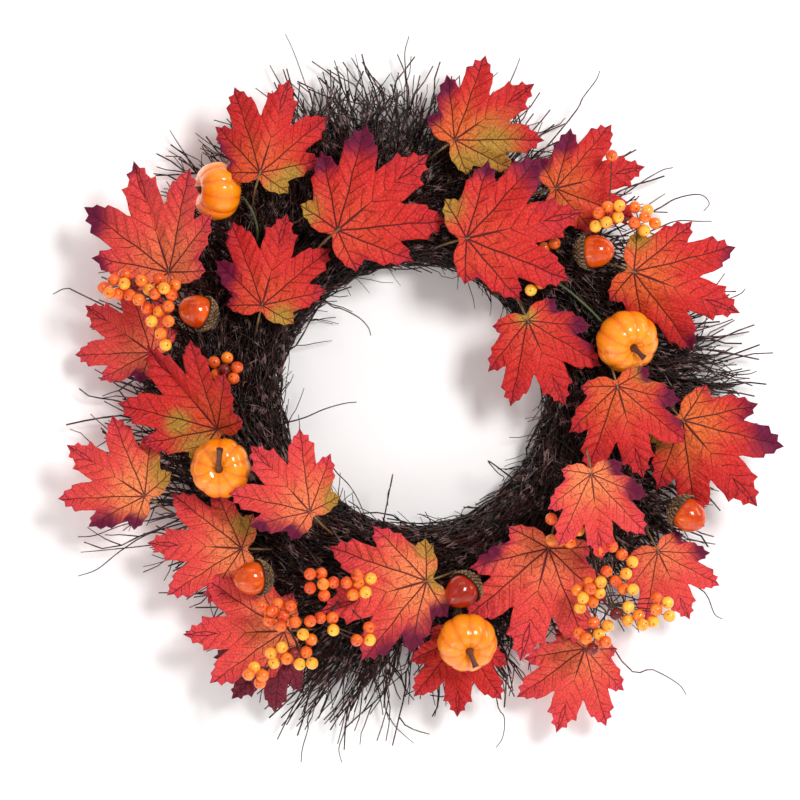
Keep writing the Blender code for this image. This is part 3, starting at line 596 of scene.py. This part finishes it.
# Long loose ends, each a few points (x, z, height) in mm.
WISPS = (
    ((-57, 63, 0), (-50, 61, 4), (-38, 55, 6), (-31, 48, 6), (-29, 42, 5)),
    ((-90, -20, -8), (-76, -16, -4), (-62, -10, 2), (-48, -6, 6), (-39, -5, 8)),
    ((-62, -48, -4), (-52, -56, 2), (-44, -64, 4), (-38, -74, 2), (-33, -86, -6)),
    ((55, -47, 0), (58, -52, 4), (62, -56, 5), (65, -58, 2), (64, -61, 0)),
    ((-14, -58, 4), (-15, -64, 5), (-17, -70, 4), (-17, -78, 0)),
    ((-70, 205, -20), (-76, 222, -18), (-84, 244, -16), (-90, 257, -16)),
    ((-3, 206, -18), (-4, 226, -16), (-5, 243, -14), (-2, 255, -12)),
    ((62, 200, -20), (68, 218, -20), (74, 232, -18), (77, 240, -18)),
    ((112, 196, -22), (122, 212, -20), (131, 224, -18), (134, 231, -18)),
    ((146, 140, -20), (164, 152, -20), (178, 160, -18), (186, 162, -18)),
    ((170, 130, -22), (188, 140, -22), (205, 143, -20), (212, 137, -20), (208, 131, -20)),
    ((168, 116, -20), (188, 124, -22), (204, 124, -22), (214, 124, -22)),
    ((200, 56, -22), (220, 66, -22), (234, 72, -22), (238, 76, -22)),
    ((205, 10, -22), (226, 14, -22), (240, 15, -22), (246, 17, -22)),
    ((-70, -220, -22), (-74, -238, -22), (-78, -252, -22), (-79, -262, -22)),
    ((-44, -225, -22), (-48, -240, -22), (-52, -252, -22), (-50, -262, -22)),
    ((-180, -88, -18), (-204, -92, -18), (-226, -100, -20), (-238, -101, -20)),
    ((-180, -96, -18), (-206, -110, -18), (-224, -124, -20), (-238, -129, -20)),
    ((-150, -100, -18), (-180, -106, -18), (-214, -110, -20), (-236, -112, -20)),
    ((-232, 70, -22), (-246, 76, -22), (-256, 72, -22)),
    ((150, -190, -24), (172, -196, -24), (190, -206, -24), (196, -214, -24)),
    ((196, -130, -24), (210, -142, -24), (216, -156, -24), (222, -160, -24)),
    ((60, -214, -24), (66, -230, -24), (65, -244, -24), (60, -252, -24)),
)


def add_wisps():
    """Each loose end springs from inside the bunches, a little back along the run of the twigs."""
    runs = []
    for number, points in enumerate(WISPS):
        x, z, _ = points[0]
        root_radius, behind = (104, 0.02) if math.hypot(x, z) < 120 else (138, 0.12)
        turn = math.atan2(z, x) + behind
        root = (root_radius * math.cos(turn), root_radius * math.sin(turn), -12)
        run = smooth_run([at(*point) for point in (root, *points)], 4)
        runs.append((run, 0.58 * MM, 0.55, number % 2))
    mesh = tubes("loose_twig_ends", runs)
    finished("loose_twig_ends", mesh, BARK)


add_wisps()


# ---------------------------------------------------------------- leaves

# Half of the cut edge, from the middle tip round to the stem: (angle, share of the reach).
HALF_CUT = (
    (0, 1.0), (2.6, 0.925), (6.0, 0.915), (5.8, 0.865), (8.6, 0.815), (12.6, 0.825), (12.4, 0.750),
    (14.8, 0.665), (17.0, 0.580), (19.2, 0.610), (21.6, 0.700), (25.0, 0.790), (27.6, 0.790),
    (29.8, 0.865), (32.6, 0.880), (35.4, 0.945), (37.6, 0.870), (41.4, 0.865), (41.6, 0.800),
    (46.2, 0.775), (46.6, 0.690), (48.2, 0.610), (50.0, 0.545), (52.6, 0.570), (55.4, 0.640),
    (58.6, 0.640), (62.0, 0.700), (65.6, 0.620), (70.6, 0.600), (71.6, 0.530), (77.6, 0.500),
    (79.6, 0.430), (84.0, 0.370), (89.0, 0.330), (94.0, 0.360), (98.6, 0.360), (105.0, 0.390),
    (110.0, 0.340), (117.0, 0.320), (121.0, 0.265), (132.0, 0.225), (146.0, 0.155), (168.0, 0.070),
)
MAIN_VEINS = ((0, 1.0), (35.4, 0.945), (62, 0.70), (105, 0.39))

# name: (x, z, height, heading of the middle lobe, reach, droop of the left, of the right, of the tip,
#        how much orange shows in its middle, its cloth,
#        tints as (angle from the middle lobe, share of the reach, p purple or o olive, spread))
LEAVES = {
    "leaf_left_upper": (-170, 86, 24, 108, 83, 15, -35, 8, 0.6, LEAF_CORAL,
        ((40, 0.9, "p", 0.22), (70, 0.7, "p", 0.12), (5, 1, "p", 0.1))),
    "leaf_left_inner": (-105, 63, 20, 75, 67, 10, 10, 0, 0.3, LEAF_RED,
        ((75, 0.6, "p", 0.26), (50, 0.9, "p", 0.12), (-110, 0.25, "o", 0.16))),
    "leaf_top_left": (-106, 155, 31, 73, 70, 20, 32, 8, 0.55, LEAF_RED,
        ((-108, 0.3, "o", 0.22), (-80, 0.35, "o", 0.14), (90, 0.5, "p", 0.15))),
    "leaf_top_middle": (-52, 115, 30, 40, 83, 10, 12, 0, 0.25, LEAF_RED,
        ((35, 0.92, "p", 0.26), (62, 0.7, "p", 0.16), (112, 0.34, "o", 0.15))),
    "leaf_top": (30, 179, 18, 35, 68, 10, 15, 0, 0.85, LEAF_RED,
        ((98, 0.45, "p", 0.2), (70, 0.6, "p", 0.14), (-50, 0.4, "o", 0.3), (-100, 0.3, "o", 0.25))),
    "leaf_top_inner": (38, 109, 34, 13, 83, 10, 10, 0, 0.2, LEAF_RED,
        ((30, 0.95, "p", 0.26), (60, 0.7, "p", 0.12), (112, 0.34, "o", 0.16))),
    "leaf_right_top": (101, 145, 16, 14, 65, 10, 15, 0, 0.7, LEAF_RED,
        ((75, 0.55, "p", 0.2), (-100, 0.3, "o", 0.16), (110, 0.3, "p", 0.1))),
    "leaf_right_upper": (155, 86, 26, -21, 80, 10, 36, 0, 0.75, LEAF_RED,
        ((25, 0.95, "p", 0.16), (105, 0.33, "o", 0.13), (-30, 0.9, "p", 0.1))),
    "leaf_right_inner": (81, 52, 22, 294, 65, 8, 10, 0, 0.2, LEAF_RED,
        ((60, 0.7, "p", 0.22), (95, 0.38, "p", 0.12), (180, 0.05, "o", 0.12))),
    "leaf_right_middle": (143, 6, 34, 286, 67, 8, 10, 0, 0.7, LEAF_RED,
        ((60, 0.7, "p", 0.22), (105, 0.38, "o", 0.16), (100, 0.36, "p", 0.1))),
    "leaf_right_outer": (190, -18, 18, -49, 80, 12, 25, 0, 1, LEAF_RED,
        ((45, 0.85, "p", 0.28), (-100, 0.3, "o", 0.12))),
    "leaf_right_lower": (124, -55, 46, 277, 60, 0, -25, 0, 0.9, LEAF_CORAL,
        ((70, 0.62, "p", 0.22), (110, 0.33, "p", 0.2))),
    "leaf_bottom_right_outer": (173, -110, 12, -64, 56, 15, 15, 12, 0.6, LEAF_CORAL,
        ((70, 0.7, "p", 0.22), (100, 0.4, "p", 0.12))),
    "leaf_bottom_right_inner": (96, -108, 9, 256, 82, 8, 0, 0, 0.55, LEAF_CORAL,
        ((-75, 0.5, "p", 0.12), (60, 0.8, "p", 0.12))),
    "leaf_bottom_right": (122, -179, 3, 252, 64, 20, 14, 8, 0.5, LEAF_CORAL, ()),
    "leaf_under_pumpkin": (34, -171, -1, 268, 57, 0, 0, 5, 0.2, LEAF_RED, ()),
    "leaf_bottom_middle": (10, -130, 26, 196, 77, 8, 8, 0, 0.9, LEAF_CORAL,
        ((60, 0.75, "p", 0.3), (95, 0.35, "p", 0.18), (-110, 0.33, "o", 0.15), (170, 0.1, "o", 0.12))),
    "leaf_bottom_left_inner": (-71, -81, 41, 132, 62, 4, 10, 0, 0.7, LEAF_CORAL,
        ((100, 0.35, "p", 0.22), (70, 0.6, "p", 0.12), (-110, 0.34, "o", 0.2))),
    "leaf_left_middle": (-137, -24, 9, 130, 77, 0, -50, -6, 0.45, LEAF_RED,
        ((110, 0.25, "o", 0.22), (40, 0.35, "o", 0.12))),
    "leaf_left_under": (-184, 30, 6, 145, 62, 10, 10, 18, 0.4, LEAF_CORAL, ((100, 0.35, "p", 0.15),)),
    "leaf_left_outer": (-188, -71, 12, 147, 66, 10, 15, 0, 1, LEAF_CORAL,
        ((85, 0.55, "p", 0.26), (110, 0.35, "p", 0.2), (-100, 0.35, "o", 0.22))),
    "leaf_left_lower": (-120, -108, 8, 177, 67, 8, 12, 0, 0.9, LEAF_CORAL, ((-90, 0.25, "o", 0.13),)),
    "leaf_bottom_left_outer": (-90, -166, 10, 182, 71, 20, 0, 0, 0.7, LEAF_CORAL, ((60, 0.7, "p", 0.12),)),
    "leaf_bottom_left_dark": (-92, -176, -7, 228, 54, 5, 5, 5, 0.2, LEAF_DARK, ()),
}


def whole_cut():
    """The whole cut edge as (angle, share), anticlockwise from the middle tip."""
    left = [(angle * DEG, share) for angle, share in HALF_CUT]
    right = [(-angle, share) for angle, share in reversed(left[1:])]
    return left + right


def cut_blank():
    """A flat leaf of reach 1, cut small enough all over to be shaped."""
    bm = bmesh.new()
    edge = whole_cut()
    corners = [bm.verts.new((share * math.cos(angle), share * math.sin(angle), 0)) for angle, share in edge]
    rim = [bm.edges.new(pair) for pair in zip(corners, corners[1:] + corners[:1])]
    bmesh.ops.triangle_fill(bm, edges=rim, use_beauty=True, normal=(0, 0, 1))
    for axis in ((1, 0, 0), (0, 1, 0)):
        for cut in range(-24, 37):
            plane = Vector(axis) * cut / 36
            bmesh.ops.bisect_plane(bm, geom=bm.verts[:] + bm.edges[:] + bm.faces[:], dist=1e-5,
                                   plane_co=plane + Vector((1e-3, 1e-3, 0)), plane_no=axis)
    bmesh.ops.remove_doubles(bm, verts=bm.verts, dist=2e-3)
    bmesh.ops.recalc_face_normals(bm, faces=bm.faces)
    if bm.faces[:][0].normal.z < 0:
        bmesh.ops.reverse_faces(bm, faces=bm.faces)
    return mesh_from(bm, "leaf_blank")


LEAF_BLANK = cut_blank()
BLANK_AREA = sum(polygon.area for polygon in LEAF_BLANK.polygons)


def nearest_vein(forward, aside):
    """(how far along its main vein, how far off it, the vein's number) on a leaf of reach 1."""
    angle = abs(math.atan2(aside, forward)) / DEG
    number = min(range(4), key=lambda vein: abs(angle - MAIN_VEINS[vein][0]))
    off = (angle - MAIN_VEINS[number][0]) * DEG
    radius = math.hypot(forward, aside)
    return radius * math.cos(off) / MAIN_VEINS[number][1], abs(radius * math.sin(off)), number


def shape_leaf(name, x, z, height, heading, reach, droop_left, droop_right, droop_tip, warm, cloth, tints):
    """A cupped and curled blade in its place. Gives back the run of its stem."""
    rng = random.Random(name + "_shape")
    heading *= DEG
    ahead = Vector((math.cos(heading), 0.0, math.sin(heading)))
    leftward = Vector((-math.sin(heading), 0.0, math.cos(heading)))
    root = at(x, z, height)
    reach *= MM
    curl = [rng.uniform(-0.02, 0.08), rng.uniform(-0.06, 0.08)]
    lobes = [rng.uniform(-0.10, 0.20) for _ in range(9)]
    seed = Vector((rng.uniform(0, 40), rng.uniform(0, 40), rng.uniform(0, 40)))
    bm = bmesh.new()
    bm.from_mesh(LEAF_BLANK)
    uv = bm.loops.layers.uv.new("cut")
    tint = bm.verts.layers.float_color.new("tint")
    for face in bm.faces:
        for loop in face.loops:
            loop[uv].uv = ((loop.vert.co.x + 0.4) / 1.5, (loop.vert.co.y + 0.75) / 1.5)
    for vertex in bm.verts:
        forward, aside = vertex.co.x, vertex.co.y
        radius = math.hypot(forward, aside)
        amount = {"p": 0.0, "o": 0.0}
        for angle, share, kind, spread in tints:
            place = Vector((share * math.cos(angle * DEG), share * math.sin(angle * DEG)))
            gap = (Vector((forward, aside)) - place).length / (spread * (1.2 if kind == "p" else 1.0))
            amount[kind] = max(amount[kind], math.exp(-gap * gap * 0.7))
        vertex[tint] = (amount["p"], amount["o"], warm, 1.0)
        along, off, lobe = nearest_vein(forward, aside)
        puff = 0.052 * (1 - math.exp(-off / 0.06)) * min(1.0, radius * 3)
        ridge = (along - off * (0.85 + off * 1.2)) / 0.125 + (0.45 if aside > 0 else 0.0)
        puff += 0.014 * math.cos(math.tau * ridge) * min(1.0, off * 14)
        wave = 0.052 * noise.noise(Vector((forward, aside, 0)) * 2.6 + seed)
        wave += 0.026 * noise.noise(Vector((forward, aside, 0)) * 6.0 + seed) * min(1.0, off * 8)
        bend = lobes[lobe if aside > 0 else -lobe] * max(0.0, along - 0.3) ** 2 * radius
        bow = curl[0] * radius ** 2 + curl[1] * abs(aside) * radius + bend
        side = (droop_left if aside > 0 else droop_right) * DEG
        tip = droop_tip * DEG
        back = abs(aside) * math.sin(side) + abs(forward) * math.sin(tip)
        back += bow - puff + wave * min(1.0, radius * 2.5)
        vertex.co = (root + ahead * forward * reach * math.cos(tip)
                     + leftward * aside * reach * math.cos(side) + Vector((0, back * reach, 0)))
    # The printed face looks to the front.
    bm.normal_update()
    if sum(face.normal.y for face in bm.faces) > 0:
        bmesh.ops.reverse_faces(bm, faces=bm.faces)
    blade = finished(name + "_blade", mesh_from(bm, name + "_blade"), [cloth], [name])
    thicken = blade.modifiers.new("cloth_thickness", "SOLIDIFY")
    thicken.thickness = 0.35 * MM
    thicken.offset = 0.0
    1.24 * reach
    1.14 * reach
    BLANK_AREA * reach ** 2
    foot = root - ahead * 22 * MM
    foot.y = min(FRONT_Y + 3 * MM, root.y + 30 * MM)
    middle = root - ahead * 10 * MM + Vector((0, 2.0 * MM, 0))
    return (smooth_run([root + ahead * 2 * MM + Vector((0, 0.4 * MM, 0)), middle,
                        root - ahead * 17 * MM + Vector((0, 0.45 * (foot.y - root.y), 0)), foot], 5),
            0.85 * MM, 0.8, 0)


stems = [shape_leaf(leaf_name, *sizes) for leaf_name, sizes in LEAVES.items()]
finished("leaf_stems", tubes("leaf_stems", stems, 2), [LEAF_STEM])


# ---------------------------------------------------------------- pumpkins

PUMPKIN_R = 21 * MM
# name: (x, z, height one common radius behind the middle, width share, axis towards the stalk,
#        how far in mm the stalk leans over, and where to)
PUMPKINS = {
    "pumpkin_upper_left": (-137, 143.5, -11, 0.98, (-0.93, -0.36, 0.04), (0, 0, 3)),
    "pumpkin_right": (150.5, 37.5, 2, 1.05, (0.30, -0.88, -0.36), (4, 0, -4)),
    "pumpkin_left": (-133.7, -51, 6, 1.01, (-0.03, -1.0, -0.05), (1.5, 0, 15)),
    "pumpkin_bottom": (38.5, -173, 5, 1.0, (0.13, -0.90, -0.42), (3, 0, -7)),
}
RIBS = 10


def model_pumpkin(name, x, z, height, width, axis, lean):
    radius = PUMPKIN_R * width
    bm = bmesh.new()
    bmesh.ops.create_uvsphere(bm, u_segments=120, v_segments=48, radius=1.0)
    rib_layer = bm.verts.layers.float.new("rib")
    rng = random.Random(name)
    sway = [rng.uniform(0.8, 1.25) for _ in range(RIBS)]
    for vertex in bm.verts:
        share = math.acos(max(-1.0, min(1.0, vertex.co.z))) / math.pi
        spread = math.sin(math.pi * share) ** 0.85 if 0 < share < 1 else 0.0
        rise = 0.8 * math.cos(math.pi * share)
        rise -= math.copysign(0.26 * math.exp(-(spread / 0.33) ** 2), rise)
        turn = math.atan2(vertex.co.y, vertex.co.x)
        swell = abs(math.cos(RIBS * turn / 2)) ** 0.75
        deep = min(1.0, spread * 1.6) * sway[int((turn / math.tau + 0.5) * RIBS) % RIBS]
        vertex[rib_layer] = swell
        reach = spread * (0.96 + 0.045 * swell * deep)
        rise *= 0.985 + 0.015 * swell
        vertex.co = Vector((reach * math.cos(turn), reach * math.sin(turn), rise)) * radius
    centre = at(x, z, height) - Vector((0, PUMPKIN_R, 0))
    place = Matrix.Translation(centre) @ turn_to(axis)
    bmesh.ops.transform(bm, matrix=place, verts=bm.verts)
    bmesh.ops.remove_doubles(bm, verts=bm.verts, dist=1e-6)
    bmesh.ops.recalc_face_normals(bm, faces=bm.faces)
    finished(name + "_skin", mesh_from(bm, name + "_skin"), [PUMPKIN], [name])
    model_stalk(name, place, 0.54 * radius, Vector(lean))


def model_stalk(name, place, base, lean):
    """A bumpy stub, wide at its foot, that bends over to one side and ends in a swollen cut."""
    out = (place.to_3x3() @ Vector((0, 0, 1))).normalized()
    over = (lean - out * lean.dot(out)).normalized() * lean.length
    foot = place @ Vector((0, 0, base - 1.0 * MM))
    shape = ((0.0, 0.0), (0.02, 0.22), (0.10, 0.45), (0.32, 0.68), (0.66, 0.86), (1.0, 1.0))
    run = smooth_run([foot + over * aside * MM + out * rise * 12.5 * MM for aside, rise in shape], 5)
    thick = smooth_run([(0, 0, 3.5), (0, 0, 2.6), (0, 0, 2.05), (0, 0, 1.8), (0, 0, 1.85), (0, 0, 2.5)], 5)
    mesh = tubes(name + "_stub", [(run, [width.z * MM for width in thick], 1.0, 0)], 4)
    for vertex in mesh.vertices:
        vertex.co += vertex.co.copy().normalized() * 0.35 * MM * noise.noise(vertex.co * 700)
    finished(name + "_stub", mesh, [STALK], [name + "_stalk"])


for pumpkin_name, pumpkin_sizes in PUMPKINS.items():
    model_pumpkin(pumpkin_name, *pumpkin_sizes)

PUMPKIN_WIRES = (
    ((-122, 139, 0), (-118, 138, 2), (-112, 128, 1), (-109, 116, -1), (-110, 104, -4)),
    ((98, 82, 2), (110, 74, 4), (124, 62, 2), (134, 52, 0)),
)
wires = [(smooth_run([at(*point) for point in points]), 0.9 * MM, 1.0, 0) for points in PUMPKIN_WIRES]
finished("pumpkin_pick_wires", tubes("pumpkin_pick_wires", wires, 2), [GREEN_WIRE])


# ---------------------------------------------------------------- acorns

NUT_R = 11.5 * MM
NUT_LENGTH = 27 * MM
# name: (x, z, height one nut's radius behind the middle, axis towards the nut's tip)
ACORNS = {
    "acorn_left": (-152, 59, 6.5, (-0.85, -0.42, 0.30)),
    "acorn_right_upper": (130, 101, 6.5, (0.93, -0.36, 0.02)),
    "acorn_bottom_left": (-113, -128, 16.5, (-0.88, -0.46, -0.05)),
    "acorn_bottom": (34, -138, 14.5, (-0.62, -0.55, -0.56)),
    "acorn_right_lower": (195, -85, 4.5, (0.76, -0.36, -0.54)),
}


def nut_radius(share):
    return NUT_R * math.sin(math.pi * share ** 0.92) ** 0.46


def turned(profile, sides):
    bm = bmesh.new()
    verts = [bm.verts.new((radius, 0.0, rise)) for radius, rise in profile]
    edges = [bm.edges.new(pair) for pair in zip(verts, verts[1:])]
    bmesh.ops.spin(bm, geom=verts + edges, cent=(0, 0, 0), axis=(0, 0, 1), angle=math.tau,
                   steps=sides, use_merge=True)
    bmesh.ops.remove_doubles(bm, verts=bm.verts, dist=1e-6)
    bmesh.ops.recalc_face_normals(bm, faces=bm.faces)
    return bm


def model_acorn(name, x, z, height, axis):
    steps = 30
    profile = [(0.0, 0.0)]
    profile += [(nut_radius(step / steps), NUT_LENGTH * step / steps) for step in range(1, steps)]
    profile += [(radius * MM, NUT_LENGTH + rise * MM) for radius, rise in ((0.8, 0.1), (0.4, 0.7), (0, 0.9))]
    centre = at(x, z, height) - Vector((0, NUT_R, 0))
    place = Matrix.Translation(centre) @ turn_to(axis) @ Matrix.Translation((0, 0, -NUT_LENGTH * 0.55))
    nut = turned(profile, 48)
    bmesh.ops.transform(nut, matrix=place, verts=nut.verts)
    skin = NUT_DARK if name == "acorn_bottom" else NUT
    finished(name + "_shell", mesh_from(nut, name + "_shell"), [skin], [name + "_nut"])
    rim = NUT_LENGTH * 0.36
    cap_profile = [(0.0, -1.2 * MM)]
    for step in range(1, 9):
        rise = rim * step / 8
        cap_profile.append((nut_radius(rise / NUT_LENGTH) + 0.4 * MM, rise - 0.8 * MM))
    outer = [(radius + 1.2 * MM, rise) for radius, rise in reversed(cap_profile[1:])]
    cap_profile += [(outer[0][0] - 0.4 * MM, outer[0][1] + 0.3 * MM)] + outer
    cap_profile += [(4.5 * MM, -2.4 * MM), (1.6 * MM, -2.8 * MM), (1.2 * MM, -5.5 * MM), (0.0, -5.7 * MM)]
    cap = turned(cap_profile, 48)
    for row in range(6):
        share = (row + 0.4) / 6
        rise = rim * share - 0.8 * MM
        ring = nut_radius(max(0.03, rim * share / NUT_LENGTH)) + 1.4 * MM
        count = max(7, round(math.tau * ring / (3.0 * MM)))
        for number in range(count):
            turn = math.tau * (number + 0.5 * (row % 2)) / count
            outward = Vector((math.cos(turn), math.sin(turn), 0.0))
            spot = outward * ring + Vector((0, 0, rise))
            face_out = turn_to(outward + Vector((0, 0, 0.75 - 1.1 * (1 - share))))
            made = bmesh.ops.create_cone(cap, cap_ends=True, segments=5, radius1=1.65 * MM, radius2=0.3 * MM,
                                         depth=2.7 * MM, matrix=Matrix.Translation(spot) @ face_out)
            paint(made, 1)
    bmesh.ops.transform(cap, matrix=place, verts=cap.verts)
    finished(name + "_scales", mesh_from(cap, name + "_scales"), [CAP, CAP_SCALE],
             [name + "_cap"])


for acorn_name, acorn_sizes in ACORNS.items():
    model_acorn(acorn_name, *acorn_sizes)


# ---------------------------------------------------------------- berries

BERRY_R = 4.35 * MM
# name: (forks of the main stem as (x, z, height), height of the berries, berries as (x, z, kind))
SPRAYS = {
    "berry_spray_left": (((-168, 60, 30), (-182, 68, 36), (-200, 76, 38)), 44, (
        (-199.5, 84, "r"), (-208, 79, "r"), (-213, 75, "r"), (-209, 71, "o"), (-199.5, 76, "y"),
        (-193, 77, "m"), (-187.6, 79, "o"), (-175.7, 80.5, "r"), (-165, 76, "o"), (-182.7, 73, "y"),
        (-173, 73, "y"), (-177, 71, "r"), (-167, 69, "r"), (-203.7, 71, "o"), (-195, 68.6, "r"),
        (-190.4, 66.5, "o"), (-184, 60, "r"), (-175.7, 58, "o"), (-168.7, 62, "r"), (-180.6, 51, "y"),
        (-168.7, 51, "o"), (-174, 42, "o"), (-171, 35, "y"))),
    "berry_spray_left_inner": (((-122, 10, 8), (-130, 18, 14)), 22, (
        (-138.6, 23, "r"), (-129.5, 26, "o"), (-124, 18, "r"), (-130, 17, "m"), (-136.5, 14.7, "r"),
        (-129.5, 11, "o"), (-125.3, 13.3, "r"))),
    "berry_spray_top_right": (((132, 112, 14), (137, 122, 26), (158, 122, 28)), 34, (
        (136.5, 131, "o"), (144, 131.6, "y"), (143.5, 124, "y"), (135, 120, "y"), (128, 117.6, "y"),
        (129.5, 126.7, "r"), (155.4, 131, "o"), (163.8, 128, "y"), (162.4, 124.6, "o"), (154.7, 119.7, "r"),
        (169.4, 119.7, "o"), (161.7, 114.8, "y"), (139, 166.6, "r"))),
    "berry_spray_top_inner": (((90, 92, 6), (92, 90, 10)), 16, (
        (93, 103.6, "r"), (100, 106.4, "r"), (90.3, 78.4, "o"), (83.3, 73.5, "y"))),
    "berry_spray_bottom_inner": (((-78, -122, 30), (-62, -131, 40), (-40, -132, 40)), 46, (
        (-70.7, -124, "r"), (-63, -124, "r"), (-70.7, -133.7, "r"), (-61.6, -131, "o"), (-61, -139, "r"),
        (-54.6, -130, "r"), (-45.5, -130, "r"), (-37.8, -126, "r"), (-37, -130, "o"), (-28.7, -127.4, "y"),
        (-33, -136, "y"), (-41, -138.6, "o"))),
    "berry_spray_bottom_left": (
        ((-50, -142, 24), (-64, -158, 36), (-90, -154, 38), (-80, -176, 37), (-100, -190, 36)), 44, (
        (-93, -145.6, "r"), (-97, -149, "r"), (-99.4, -156.8, "r"), (-91, -160.3, "r"), (-89, -152, "r"),
        (-81, -157.5, "r"), (-85.4, -147, "r"), (-104, -147, "r"), (-70.7, -156.8, "r"), (-63.7, -154.7, "r"),
        (-55.3, -154.7, "r"), (-54.6, -163, "y"), (-75.6, -166, "y"), (-70, -170, "o"), (-90.3, -175, "y"),
        (-98, -179, "y"), (-96, -186, "y"), (-86.8, -182.7, "o"), (-80.5, -180, "m"), (-75, -179, "o"),
        (-78.4, -186, "y"), (-69.3, -186, "y"), (-110, -189.7, "y"), (-103.6, -194.6, "o"),
        (-105.7, -200, "o"), (-112.7, -193, "o"), (-30, -161.7, "r"), (-38.5, -170, "r"),
        (-29.4, -170, "y"))),
    "berry_spray_bottom_right": (
        ((120, -96, 20), (127, -115, 33), (130, -132, 34), (138, -146, 34), (128, -163, 33)), 40, (
        (96.6, -86, "r"), (96.6, -100.8, "o"), (107, -95, "y"), (115.5, -93.8, "y"), (109, -102, "o"),
        (103.6, -100.8, "o"), (138.6, -105, "r"), (130, -108.5, "r"), (146, -111, "r"), (153, -116, "y"),
        (148.4, -124, "y"), (135, -122.5, "r"), (141.4, -129.5, "r"), (147, -135, "o"), (153.3, -135, "y"),
        (124, -131, "o"), (130, -130, "y"), (114.8, -135.8, "o"), (123, -134.4, "r"), (130, -138, "y"),
        (119, -140.7, "y"), (126, -143.5, "o"), (117, -147, "y"), (141.4, -152, "m"), (149.8, -147, "y"),
        (149.8, -156.8, "y"), (157.5, -153.3, "o"), (169.4, -140.7, "r"), (177, -144, "y"),
        (169.4, -149, "o"), (178.5, -153.3, "y"), (166.6, -157.5, "y"), (160.3, -159, "y"),
        (126, -158, "r"), (135.8, -160.3, "y"), (120.4, -169.4, "o"), (130, -166.6, "y"),
        (117, -166.6, "r"), (133.7, -170.8, "r"), (124.6, -175, "m"))),
}


def settle(berries):
    """Push berries apart, mostly in depth, until none overlap."""
    spacing = 2 * BERRY_R * 0.98
    for _ in range(90):
        moved = False
        for number, first in enumerate(berries):
            for second in berries[number + 1:]:
                apart = second - first
                if apart.length < spacing:
                    moved = True
                    push = Vector((apart.x * 0.35, apart.y or 0.1 * MM, apart.z * 0.35)).normalized()
                    push *= (spacing - apart.length) * 0.55
                    first -= push
                    second += push
        if not moved:
            break


def model_spray(name, forks, lift, berries):
    rng = random.Random(name)
    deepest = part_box(name)[0].y
    centres = [at(x, z, lift + rng.uniform(-5, 5)) for x, z, _ in berries]
    settle(centres)
    low = deepest + BERRY_R - 2 * MM
    for centre in centres:
        centre.y = max(centre.y, low)
    bm = bmesh.new()
    kinds = list(BERRY)
    for centre, (_, _, kind) in zip(centres, berries):
        gaze = Vector((rng.gauss(0, 0.5), -1.0, rng.gauss(-0.25, 0.4)))
        place = Matrix.Translation(centre) @ turn_to(gaze)
        made = bmesh.ops.create_uvsphere(bm, u_segments=20, v_segments=14, radius=BERRY_R, matrix=place)
        for vertex in made["verts"]:
            out = (vertex.co - centre).normalized()
            facing = out.dot(gaze.normalized())
            vertex.co -= out * 0.45 * MM * max(0.0, facing - 0.93) / 0.07
        paint(made, kinds.index(kind))
        dot = Matrix.Translation(centre + gaze.normalized() * (BERRY_R - 0.40 * MM)) @ turn_to(gaze)
        made = bmesh.ops.create_icosphere(bm, subdivisions=1, radius=0.55 * MM, matrix=dot)
        paint(made, len(kinds))
    mesh = mesh_from(bm, name + "_berries")
    finished(mesh.name, mesh, list(BERRY.values()) + [CALYX], [name])
    forks = [at(*fork) for fork in forks]
    foot = Vector((forks[0].x, FRONT_Y + 2 * MM, forks[0].z))
    runs = [(smooth_run([foot, *forks], 5), 0.95 * MM, 0.7, 0)]
    for centre in centres:
        behind = centre + Vector((0, 0.6 * BERRY_R, 0))
        nearest = min(forks, key=lambda fork: (fork - behind).length)
        neck = behind.lerp(nearest, 0.4) + Vector((rng.uniform(-1, 1), 3, rng.uniform(-1, 1))) * MM
        runs.append((smooth_run([nearest, neck, behind], 4), 0.50 * MM, 0.85, 0))
    finished(name + "_stems", tubes(name + "_stems", runs, 1), [SPRAY_STEM])


for spray_name, spray_sizes in SPRAYS.items():
    model_spray(spray_name, *spray_sizes)


# ---------------------------------------------------------------- wires

for node_name, wire_material in (("wire_frame", IRON), ("hanging_loop", LOOP), ("binding_wire", BINDING)):
    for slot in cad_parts[node_name].material_slots:
        slot.material = wire_material


# ---------------------------------------------------------------- stage

def stage_sheet(name, size, place, turn, material):
    bm = bmesh.new()
    bmesh.ops.create_grid(bm, x_segments=1, y_segments=1, size=size)
    bmesh.ops.transform(bm, matrix=Matrix.Translation(place) @ Matrix.Rotation(turn, 4, "X"), verts=bm.verts)
    sheet = bpy.data.objects.new(name, mesh_from(bm, name))
    sheet.data.materials.append(material)
    bpy.context.scene.collection.objects.link(sheet)


def wall_paint(name, one_sided):
    """White paint. A one-sided wall is clear from behind and to lamps, to show the wreath's back."""
    finish = Finish(name, base_color=(0.97, 0.955, 0.95), roughness=0.9, specular_ior_level=0.1)
    if one_sided:
        clear = finish.node("BsdfTransparent")
        back = finish.node("NewGeometry", output="Backfacing")
        shade = finish.node("LightPath", output="Is Shadow Ray")
        through = finish.maths("MAXIMUM", back, shade)
        out = finish.tree.nodes["Material Output"]
        paint = Value(finish, finish.shader.outputs[0])
        finish.feed(out.inputs["Surface"], finish.node("MixShader", None, {0: through, 1: paint, 2: clear}))
    return finish.material


stage_sheet("wall", 3.0, (0, DOOR_Y + 0.4 * MM, 0.6), math.pi / 2, wall_paint("wall_white", True))
stage_sheet("floor", 3.0, (0, 0, -1.2), 0.0, wall_paint("floor_white", False))
